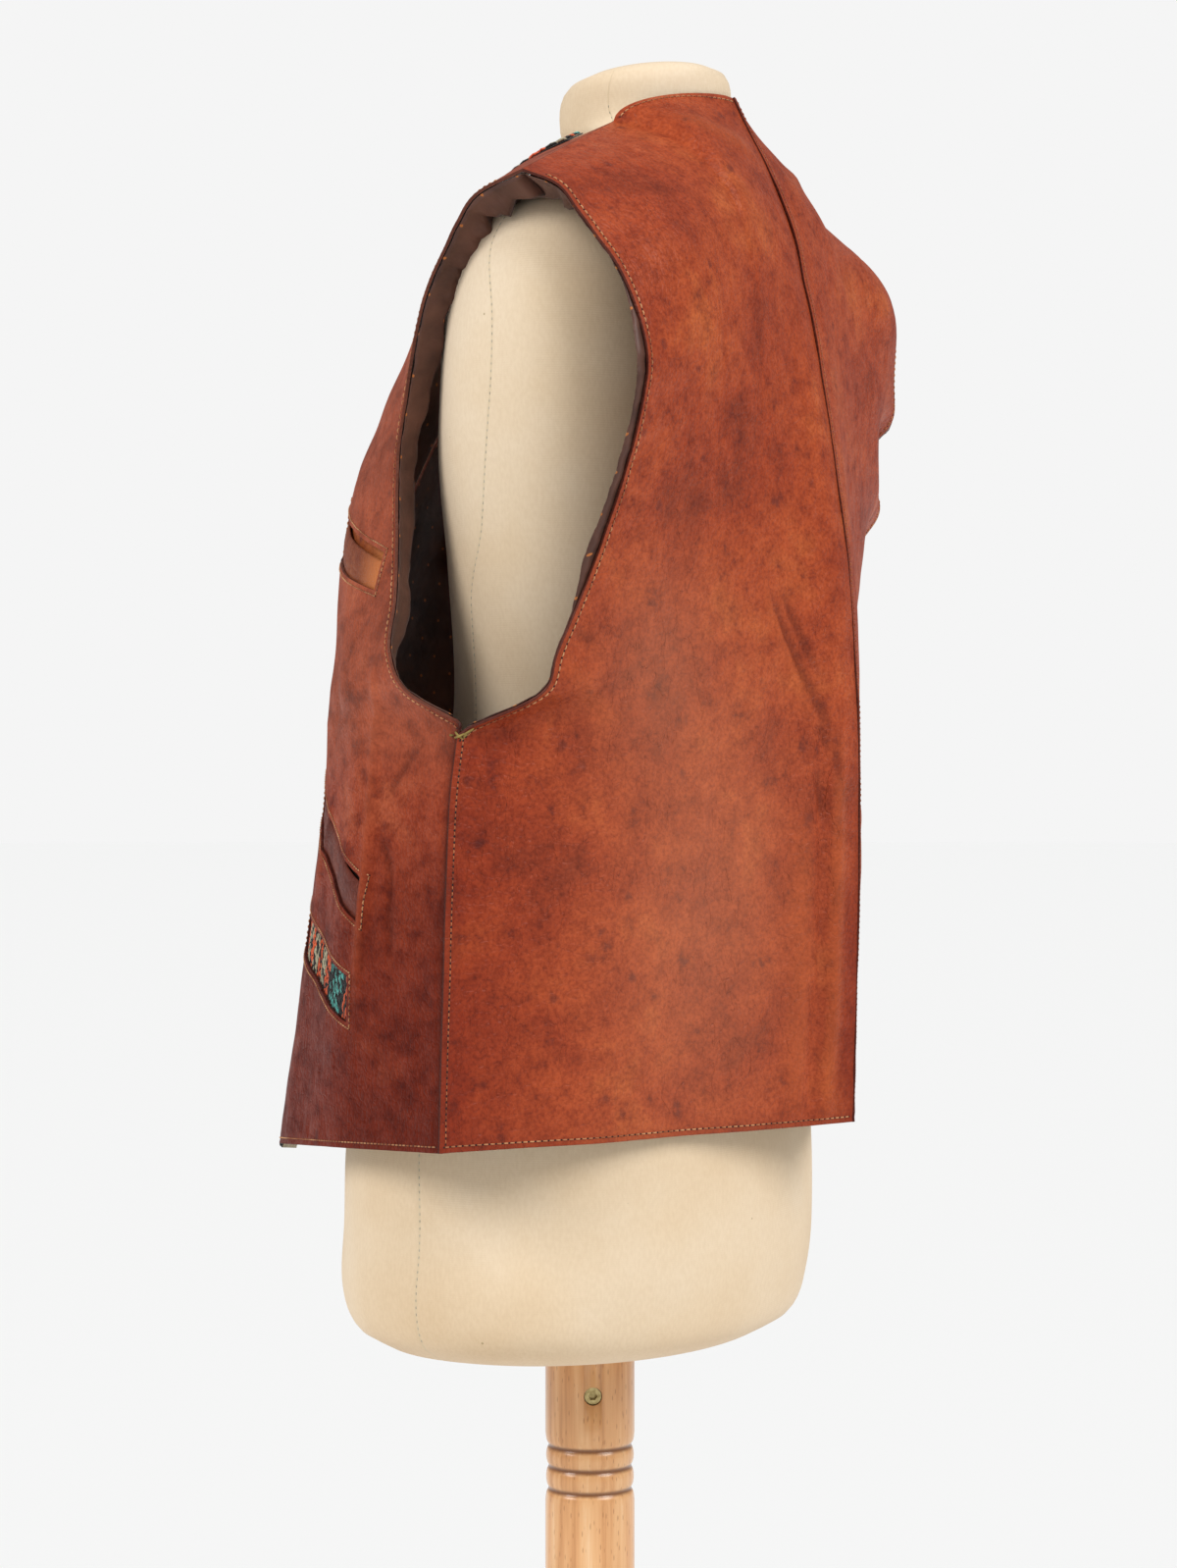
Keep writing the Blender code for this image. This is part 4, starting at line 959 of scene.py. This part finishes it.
# Cross-section of a welt: share of its height, and how far its face lies behind the leather's. At its
# ends and its foot it lies behind the leather, and in the window it swells forward.
WELT_PROFILE = [(0.0, -0.0025), (0.14, -0.0022), (0.22, -0.0017), (0.35, -0.0013), (0.6, -0.0010),
                (0.84, -0.0010), (0.94, -0.0013), (1.0, -0.0021), (0.99, -0.0030)]
WELT_BEHIND = -0.0023
WELT_LEATHER_THICK = 0.0011
BACKING_PROFILE = [(share, -0.0047) for share in np.linspace(0, 1, 8)]


def pocket_piece(panel, window, part_name, profile, top_share, leather):
    """A welt or a backing, stretched behind its window."""
    side_name = panel.name.split("_")[1]
    length = window.outer_x - window.inner_x
    shares_along = np.linspace(0, 1, 64)
    from_end = np.minimum(shares_along, 1 - shares_along) * (length + 2 * WINDOW_GROW) - WINDOW_GROW
    swell = smooth(from_end / 0.004)
    grid = np.array([[place_behind(panel, window, along, share, top_share,
                                   WELT_BEHIND + (out - WELT_BEHIND) * float(s) if out > WELT_BEHIND else out)[0]
                      for along, s in zip(shares_along, swell)] for share, out in profile])
    sign = facing(grid, (0.6 * panel.side, -1, 0))[1]
    piece = show(f"{window.name}_pocket_{part_name}_{side_name}", grid.reshape(-1, 3),
                 grid_faces(*grid.shape[:2], sign), [leather], f"{window.name}_{part_name}_{side_name}")
    if window.name == "chest":
        # Its outer end is rubbed orange.
        point_values(piece, "rubbed", np.tile(smooth(1 - shares_along / 0.34), len(profile)))
    thicken(piece, WELT_LEATHER_THICK)


for panel in FRONTS:
    for window in WINDOWS[:2]:
        chest = window.name == "chest"
        pocket_piece(panel, window, "welt", WELT_PROFILE, WELT_SHARES[window.name],
                     WELT_LEATHER if chest else WAIST_WELT_LEATHER)
        # The waist backing's near black is painted shade of the gap behind its welt.
        pocket_piece(panel, window, "backing", BACKING_PROFILE, 1,
                     INNER_LEATHER if chest else POCKET_SHADE_LEATHER)


# ---------- kilim ----------
# Colour bands of the weave, as (wool, columns) pairs along it: 0 black, 1 orange, 2 turquoise, 3 cream.
STRIP_BANDS = [(1, 3), (0, 2), (3, 3), (0, 1), (1, 3), (0, 3), (2, 4), (0, 2)]
WINDOW_BANDS = [(3, 3), (1, 9), (0, 3), (2, 17), (0, 3), (1, 9), (0, 2), (3, 9), (1, 7), (3, 9), (1, 7), (3, 9),
                (1, 12), (2, 11)]
# One weave: its columns and rows of knots, how far its bands lean, in columns a row, or how many rows
# they run before they turn back, the width of a knot, the longest yarn in rows, and how many are black.
Weave = namedtuple("Weave", "columns rows lean chevron knot bands longest black_share")
STRIP_WEAVE = Weave(12, 250, 0, 9, 0.0021, STRIP_BANDS, 3.4, 0.40)
WINDOW_WEAVE = Weave(104, 19, 0.35, 0, 0.0016, WINDOW_BANDS, 4.4, 0.54)
SHORTEST_YARN = 1.7
BLACK_YARN, DYED_YARN = 0.42, 0.54
KILIM_GROUND = 0.0009
# How far the weave's face lies out from the leather's, on the strip and in the lowest window.
STRIP_OUT, INSET_OUT = 0.0012, -0.0033
YARN_SIDES = 5


def kilim(name, node, place_at, weave):
    """A woven ground with rows of pile yarns on it. place_at gives a point and facing by column and row."""
    columns, rows, lean, chevron, knot, bands, longest, black_share = weave
    band_columns = [wool_number for wool_number, count in bands for _ in range(count)]
    ground = np.array([[place_at(c / columns, r / rows, 0.0)[0] for c in range(columns + 1)]
                       for r in range(rows + 1)])
    starts, ends, normals, wools, radii = [], [], [], [], []
    for c in range(columns):
        r = RANDOM.uniform(-1.5, 0)
        while r < rows - 1:
            tall = RANDOM.uniform(SHORTEST_YARN, longest)
            low, high = max(r, 0.1), min(r + tall, rows - 0.1)
            if high - low > 0.7:
                middle = (low + high) / 2
                turn = abs((middle % (2 * chevron)) - chevron) if chevron else middle * lean
                number = band_columns[int(c + turn + RANDOM.uniform(-1.0, 1.0)) % len(band_columns)]
                if RANDOM.uniform() < black_share:
                    number = 0
                drift = RANDOM.uniform(-0.25, 0.25) + 0.28
                here, facing_here = place_at((c + 0.5 - drift / 2) / columns, low / rows, knot * 0.35)
                starts.append(here)
                ends.append(place_at((c + 0.5 + drift / 2) / columns, high / rows, knot * 0.35)[0])
                normals.append(facing_here)
                wools.append(number)
                radii.append(knot * (BLACK_YARN if number == 0 else DYED_YARN) * RANDOM.uniform(0.9, 1.1))
            r += tall
    points, faces = yarns(starts, ends, normals, radii, knot * 0.28, sides=YARN_SIDES, flatness=0.8)
    yarn_indices = np.concatenate([np.repeat(wools, (len(YARN_STATIONS) - 1) * YARN_SIDES), np.repeat(wools, 2)])
    pile = show(name + "_pile", points, faces, WOOLS, indices=yarn_indices)
    # The undyed warp shows on the wrong side.
    cloth = show(name + "_ground", ground.reshape(-1, 3),
                 grid_faces(rows + 1, columns + 1, facing(ground, normals[len(normals) // 2])[1]),
                 [WOOLS[0], WOOLS[3]], node)
    thicken(cloth, KILIM_GROUND, inner=1)
    return cloth, pile


def strip_place(panel):
    """Places on a front's woven edge strip, by shares across and up."""
    first = int(round(KILIM_STRIP_FROM * (len(ACROSS) - 1)))
    strip, strip_facing = panel.points[:, first:], panel.normals[:, first:]
    columns = strip.shape[1]
    steps = np.linalg.norm(np.diff(strip[:, columns // 2], axis=0), axis=1)
    gone, rows = np.concatenate([[0], np.cumsum(steps)]), np.arange(len(UPS))
    long = float(np.interp(len(UPS) - 3.1, rows, gone))

    def place(share_across, share_up, out):
        # Even steps along the strip. Its lower end hangs one row, about 3 mm, below the leather's hem.
        i = float(np.interp(share_up * long, gone, rows)) - 1.1 * (1 - share_up)
        j = share_across * (columns - 1)
        i0, j0 = min(max(int(i), 0), len(UPS) - 2), min(int(j), columns - 2)
        s, t = i - i0, j - j0
        weights = np.array([[(1 - s) * (1 - t), (1 - s) * t], [s * (1 - t), s * t]])[..., None]
        point = (weights * strip[i0:i0 + 2, j0:j0 + 2]).sum(axis=(0, 1))
        normal = unit((weights * strip_facing[i0:i0 + 2, j0:j0 + 2]).sum(axis=(0, 1)))
        return point + normal * (STRIP_OUT + out), normal

    return place


def inset_place(panel):
    """Places on the kilim behind the lowest window, by shares along and up."""
    return lambda along, up, out: place_behind(panel, WINDOWS[2], along, up, 1, INSET_OUT + out)


for panel in FRONTS:
    side_name = panel.name.split("_")[1]
    cloth, pile = kilim("kilim_strip_" + side_name, "kilim_edge_" + side_name, strip_place(panel), STRIP_WEAVE)
    cloth, pile = kilim("kilim_window_" + side_name, "kilim_inset_" + side_name, inset_place(panel), WINDOW_WEAVE)


# ---------- sewing ----------
NECK_COLUMN = int(round((1 - NECK_X / SHOULDER_X) * (len(ACROSS) - 1)))
# Each line stops a row or two short of its ends, or where the kilim strip covers it.
for panel in BACKS:
    sew(panel.name, [panel.line_inside("hem", STITCH_IN, 1, -1), panel.line_inside("armhole", STITCH_IN, 0, -2),
                     panel.line_inside("top", STITCH_IN, NECK_COLUMN, -1)], HEM_SEWING)
    sew("seam_" + panel.name, [panel.line_inside("side", SEAM_STITCH_IN, 2, -1)], SIDE_SEWING)
sew("centre_back_seam", [back_right.line_inside("inner", STITCH_IN, 2, -2)], CENTRE_SEWING)
for panel in FRONTS:
    sew(panel.name, [panel.line_inside("hem", STITCH_IN, 1, -14), panel.line_inside("armhole", STITCH_IN, 0, -2)],
        HEM_SEWING)
    sew("windows_" + panel.name,
        [line for window in WINDOWS for line in window_line(panel, window, WINDOW_STITCH_OUT)], WINDOW_SEWING)

# Thick strands that hold the seam under the arm: toward the front from the seam, and up from the
# corner, at each end of a strand.
Strand = namedtuple("Strand", "forward up to_forward to_up")
UNDERARM_STRANDS = [
    Strand(0.0034, -0.0005, -0.0030, -0.0052),
    Strand(0.0030, -0.0046, -0.0036, -0.0008),
    Strand(-0.0022, -0.0034, -0.0098, -0.0016),
    Strand(-0.0030, -0.0046, -0.0080, -0.0030),
    Strand(0.0078, -0.0022, 0.0042, -0.0030),
]


def underarm_cross(name, back, front):
    """The thick crossed stitches that hold the seam under the arm."""
    corner = (back.points[LOW_ROWS, 0] + front.points[LOW_ROWS, 0]) / 2
    out = unit(back.near(corner)[1] + front.near(corner)[1])
    way = unit(np.cross(out, [0, 0, 1.0]))
    way *= 1 if way[1] < 0 else -1

    def on_leather(forward, up):
        place, normal = (front if forward > 0 else back).near(corner + way * forward + np.array([0, 0, up]))
        return place + normal * 0.0009

    starts = [on_leather(strand.forward, strand.up) for strand in UNDERARM_STRANDS]
    ends = [on_leather(strand.to_forward, strand.to_up) for strand in UNDERARM_STRANDS]
    points, faces = yarns(starts, ends, [out] * len(starts), 0.00070, 0.0008, sides=8)
    show(name, points, faces, [OLIVE_THREAD])


underarm_cross("underarm_stitch_left", back_left, front_left)
underarm_cross("underarm_stitch_right", back_right, front_right)

# ---------- lining ----------
LINING_COLUMNS, LINING_STEP = 9, 0.0024
PEEK = 0.0075
LOOSE_HANG = 0.0145
TURNED_IN = 0.013
GATHER_PITCH, GATHER_DEPTH = 0.0115, 0.0036
# The lining passes behind the chest pocket, this far up the panel and this much deeper.
CHEST_POCKET_UP, CHEST_POCKET_REACH, ROUND_POCKET = 0.605, 0.08, 0.010
# Heights over which the lining changes: it starts to turn in, to peek out, to peek no more, and to hang loose.
TURNS_IN, PEEKS, PEEKS_NO_MORE, HANGS_LOOSE = (0.045, 0.095), (0.085, 0.135), (0.235, 0.285), (0.270, 0.320)
RIPPLE, RIPPLE_LEAST = 0.0009, -0.0006
SATIN_THICKNESS, SATIN_BEHIND = 0.0004, 0.0010


def grown(height, span):
    """0 below a span of heights, 1 above it, and eased between."""
    return float(smooth((height - span[0]) / (span[1] - span[0])))


def armhole_lining(side_name, back, front):
    """The satin that shows inside one armhole: a band gathered along the edge, with small puckers. It
    peeks out past the back's edge, passes behind the chest pocket and hangs loose at the shoulder."""
    stations = [(front, i) for i in range(LOW_ROWS + 2, len(UPS))]
    stations += [(back, i) for i in range(len(UPS) - 1, LOW_ROWS + 1, -1)]
    grid, run = [], []
    length = 0.0
    for panel, i in stations:
        edge = panel.points[i, 0]
        height = edge[2] - CHEST_LINE
        loose = grown(height, HANGS_LOOSE)
        out = unit(edge - panel.points[i, 2])
        wavy = 1 + 0.35 * noise.noise(Vector(edge) * 45)
        peek = behind_pocket = turned_in = 0.0
        if panel is back:
            peek = PEEK * wavy * grown(height, PEEKS) * (1 - grown(height, PEEKS_NO_MORE))
        else:
            behind_pocket = math.exp(-((UPS[i] - CHEST_POCKET_UP) / CHEST_POCKET_REACH) ** 4)
            # Inside the front's edge the satin stands off the leather, turned toward the arm.
            turned_in = TURNED_IN * wavy * grown(height, TURNS_IN) * (1 - loose)
        row = []
        for j in range(LINING_COLUMNS):
            share = j / (LINING_COLUMNS - 1)
            column = int(round(j * (1 + 1.4 * loose)))
            point, normal = panel.points[i, column], panel.normals[i, column]
            ripple = noise.noise(Vector(point) * 130) + 0.6 * noise.noise(Vector(point) * 320)
            ripple = max(RIPPLE * ripple * (1 - abs(share - 0.35)), RIPPLE_LEAST)
            uneven = noise.noise(Vector(edge) * 95 + Vector((share * 2, 0, 0)))
            gathers = math.sin(math.tau * length / GATHER_PITCH + 3 * uneven)
            hang = LOOSE_HANG * (1.0 + 0.5 * uneven) + GATHER_DEPTH * gathers
            hang *= loose * float(smooth(share * 2.0))
            stand_off = max(ROUND_POCKET * behind_pocket * share, turned_in * float(smooth(share * 1.6)))
            depth = LEATHER + SATIN_BEHIND + ripple + stand_off + max(hang, 0)
            row.append(point - normal * depth + out * peek * max(1 - share * 4, 0))
        if grid:
            length += np.linalg.norm(row[0] - grid[-1][0])
        grid.append(row)
        run.append([length] * LINING_COLUMNS)
    piece = show("satin_lining_" + side_name, np.array(grid).reshape(-1, 3),
                 grid_faces(len(grid), LINING_COLUMNS, 1), [SATIN], "armhole_lining_" + side_name)
    lay_flat(piece, np.array(run), np.tile(np.arange(LINING_COLUMNS) * LINING_STEP, (len(run), 1)))
    thicken(piece, SATIN_THICKNESS)


armhole_lining("left", back_left, front_left)
armhole_lining("right", back_right, front_right)

# ---------- the form ----------
# Where the cover's side seam runs: height, and how far forward of the form's widest place it lies,
# as a share of the form's reach there.
FormSeam = namedtuple("FormSeam", "z forward")
FORM_SEAM = [FormSeam(-0.338, 0.18), FormSeam(-0.228, 0.18), FormSeam(-0.050, 0.30), FormSeam(0.103, 0.39),
             FormSeam(0.149, 0.24), FormSeam(0.223, 0.126), FormSeam(0.261, 0.13), FormSeam(0.319, 0.22),
             FormSeam(0.380, 0.05), FormSeam(0.436, 0.0)]
FORM_SEAM_REST = 0.2
FORM_RINGS, FORM_COLUMNS = 190, 144
SEAM_COLUMNS = (-0.02, -0.01, -0.005, 0, 0.005, 0.01, 0.02)
SEAM_GROOVE, SEAM_GROOVE_TURN, SEAM_PULL_TURN = 0.0004, 0.006, 0.6


def seam_turns(z=None):
    """The turn of each side's seam at a height, or at rest."""
    forward = FORM_SEAM_REST if z is None else float(column_of(FORM_SEAM, "forward", z, by="z"))
    return [-math.asin(forward), math.pi + math.asin(forward)]


def form_ring(z, turns):
    """The points of one level section of the form."""
    half_width, front, back, centre_y, roundness = (
        float(column_of(FORM_SECTIONS, name, z, by="z")) for name in Section._fields[1:])
    c, s = np.cos(turns), np.sin(turns)
    reach = (np.abs(c) ** roundness + np.abs(s) ** roundness) ** (-1 / roundness)
    deep = np.where(s > 0, back, front) * s * reach
    tilt = NECK_RISE * deep * float(smooth((z - NECK_RISE_FROM + 0.006) / 0.012))
    return np.stack([half_width * c * reach, centre_y + deep, CHEST_LINE + z + tilt], axis=1)


def tailors_form():
    """The covered form, with its sewn side seams and closed neck and hip."""
    close = [seam % math.tau + step for seam in seam_turns() for step in SEAM_COLUMNS]
    turns = np.linspace(0, math.tau, FORM_COLUMNS, endpoint=False)
    turns = np.unique(np.round(np.concatenate([turns, np.array(close) % math.tau]), 5))
    heights = np.linspace(FORM_SECTIONS[0].z, FORM_SECTIONS[-1].z, FORM_RINGS)
    rings, grooves = [], []
    for z in heights:
        # Columns of points move with the seam, so that its groove stays sharp.
        moved, groove = turns.copy(), np.zeros(len(turns))
        for rest, seam in zip(seam_turns(), seam_turns(z)):
            off = (turns - rest + math.pi) % math.tau - math.pi
            moved += (seam - rest) * bell(off, SEAM_PULL_TURN)
            groove += bell(off, SEAM_GROOVE_TURN)
        inward = np.stack([np.cos(moved), np.sin(moved), np.zeros(len(turns))], axis=1)
        rings.append(form_ring(z, moved) - inward * groove[:, None] * SEAM_GROOVE)
        grooves.append(groove)
    # Each end is closed by smaller rings and a middle point.
    foot, neck = rings[0].mean(axis=0), rings[-1].mean(axis=0)
    rings = ([foot + (rings[0] - foot) * share for share in (0.25, 0.5, 0.75)] + rings
             + [neck + (rings[-1] - neck) * share for share in (0.75, 0.5, 0.25)])
    grooves = [np.zeros(len(turns))] * 3 + grooves + [np.zeros(len(turns))] * 3
    count, total = len(turns), len(rings) * len(turns)
    faces = list(tube_faces(len(rings), count))
    for k in range(count):
        n = (k + 1) % count
        faces += [(total, n, k), (total - count + k, total - count + n, total + 1)]
    piece = show("tailors_form", [*np.concatenate(rings), foot, neck], faces, [CANVAS],
                 "form_body")
    point_values(piece, "seam", np.append(np.concatenate(grooves), [0, 0]) * 0.75)
    lines = []
    for side in (0, 1):
        line = []
        for z in heights[3:-6]:
            seam = seam_turns(z)[side]
            away = np.array([math.cos(seam), math.sin(seam), 0])
            line.append(np.concatenate([form_ring(z, np.array([seam]))[0] - away * 0.0006, away]))
        lines.append(np.array(line))
    sew("form_seam", lines, FORM_SEWING)


tailors_form()


# ---------- the stand ----------
def turned(name, outline, material, node, steps=96):
    """A turned piece from its outline of (radius, height) pairs, top to bottom."""
    piece = show(name, [(radius, 0.0, height) for radius, height in outline], [], [material], node,
                 edges=[(i, i + 1) for i in range(len(outline) - 1)])
    screw = piece.modifiers.new("turn", "SCREW")
    screw.axis = "Z"
    screw.steps = screw.render_steps = steps
    screw.use_merge_vertices = True
    screw.merge_threshold = 0.00001
    screw.use_smooth_shade = True
    return piece


turn_heights = np.linspace(COLUMN_TURNS[0].z, COLUMN_TURNS[-1].z, 70)
turn_shares = column_of(COLUMN_TURNS[::-1], "share", turn_heights, by="z")
column_outline = [(0.0, CHEST_LINE + COLUMN_TOP), (COLUMN_RADIUS - 0.001, CHEST_LINE + COLUMN_TOP),
                  (COLUMN_RADIUS, CHEST_LINE + COLUMN_TOP - 0.001)]
column_outline += [(COLUMN_RADIUS * share, CHEST_LINE + z) for z, share in zip(turn_heights, turn_shares)]
column_outline += [(COLUMN_RADIUS, BASE_HEIGHT + STAND_GAP), (0.0, BASE_HEIGHT + STAND_GAP)]
stand_column = turned("beech_column", column_outline, COLUMN_BEECH, "stand_column")
# Painted shade darkens the grooves.
point_values(stand_column, "groove", [0.0] * 3 + list(np.clip((0.962 - turn_shares) / 0.035, 0, 1)) + [0.0] * 2)

# The screw's recess is cut out along its own direction.
away = np.array([math.cos(SCREW_TURN), math.sin(SCREW_TURN), 0])
beside = np.array([-math.sin(SCREW_TURN), math.cos(SCREW_TURN), 0])
recess_middle = np.array([0, 0, CHEST_LINE + SCREW_HEIGHT])
recess_points = [recess_middle + away * reach + (beside * math.cos(turn) + [0, 0, math.sin(turn)]) * RECESS_RADIUS
                 for reach in (COLUMN_RADIUS - RECESS_DEPTH, COLUMN_RADIUS + 0.01)
                 for turn in np.arange(48) * math.tau / 48]
recess = mesh_object("screw_recess_cutter", recess_points,
                     [*tube_faces(2, 48), tuple(reversed(range(48))), tuple(range(48, 96))], [COLUMN_BEECH])
recess.hide_render = True
recess.display_type = "WIRE"
cut = stand_column.modifiers.new("recess", "BOOLEAN")
cut.operation = "DIFFERENCE"
cut.solver = "EXACT"
cut.object = recess

foot_outline = [(0.0, BASE_HEIGHT), (0.150, BASE_HEIGHT), (0.170, BASE_HEIGHT - 0.0012)]
foot_outline += [(BASE_RADIUS - 0.010 + 0.010 * math.sin(t), BASE_HEIGHT - 0.0122 + 0.010 * math.cos(t))
                 for t in np.linspace(0.35, math.pi / 2, 10)]
foot_outline += [(BASE_RADIUS, 0.002), (BASE_RADIUS - 0.002, 0.0), (0.0, 0.0)]
turned("beech_foot", foot_outline, BASE_BEECH, "stand_base", steps=144)
for material_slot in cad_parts["column_screw"].material_slots:
    material_slot.material = BRASS

# ---------- floor and light ----------
FLOOR_RADIUS = 60
floor = mesh_object("floor", [(FLOOR_RADIUS * math.cos(t), FLOOR_RADIUS * math.sin(t), 0)
                              for t in np.arange(64) * math.tau / 64], [range(64)],
                    [plain("pale_floor", "#F2F2F1", 0.9)])


def sun(name, azimuth, elevation, strength, spread):
    """A large soft light from far off. Azimuth 0 is in front of the wearer and 90 at the wearer's left."""
    light = bpy.data.lights.new(name, "SUN")
    light.energy = strength
    light.angle = math.radians(spread)
    lamp = bpy.data.objects.new(name, light)
    a, e = math.radians(azimuth), math.radians(elevation)
    away = Vector((math.sin(a) * math.cos(e), -math.cos(a) * math.cos(e), math.sin(e)))
    lamp.rotation_mode = "QUATERNION"
    lamp.rotation_quaternion = away.to_track_quat("Z", "Y")
    bpy.context.scene.collection.objects.link(lamp)


sun("key_light", 165, 42, 2.0, 34)
sun("left_light", 56, 34, 1.65, 26)
world = bpy.data.worlds.new("studio")
world.use_nodes = True
bpy.context.scene.world = world
tree = world.node_tree
tree.nodes.clear()
seen = add(tree, "Background", {"Color": colour("#F5F5F5"), "Strength": 1})
lit = add(tree, "Background", {"Color": colour("#F7F8FA"), "Strength": 0.36})
shown = add(tree, "MixShader", {0: add(tree, "LightPath", out="Is Camera Ray"), 1: lit, 2: seen})
wire(tree.nodes.new("ShaderNodeOutputWorld"), {"Surface": shown})
bpy.context.scene.view_settings.view_transform = "Standard"
bpy.context.scene.view_settings.look = "None"
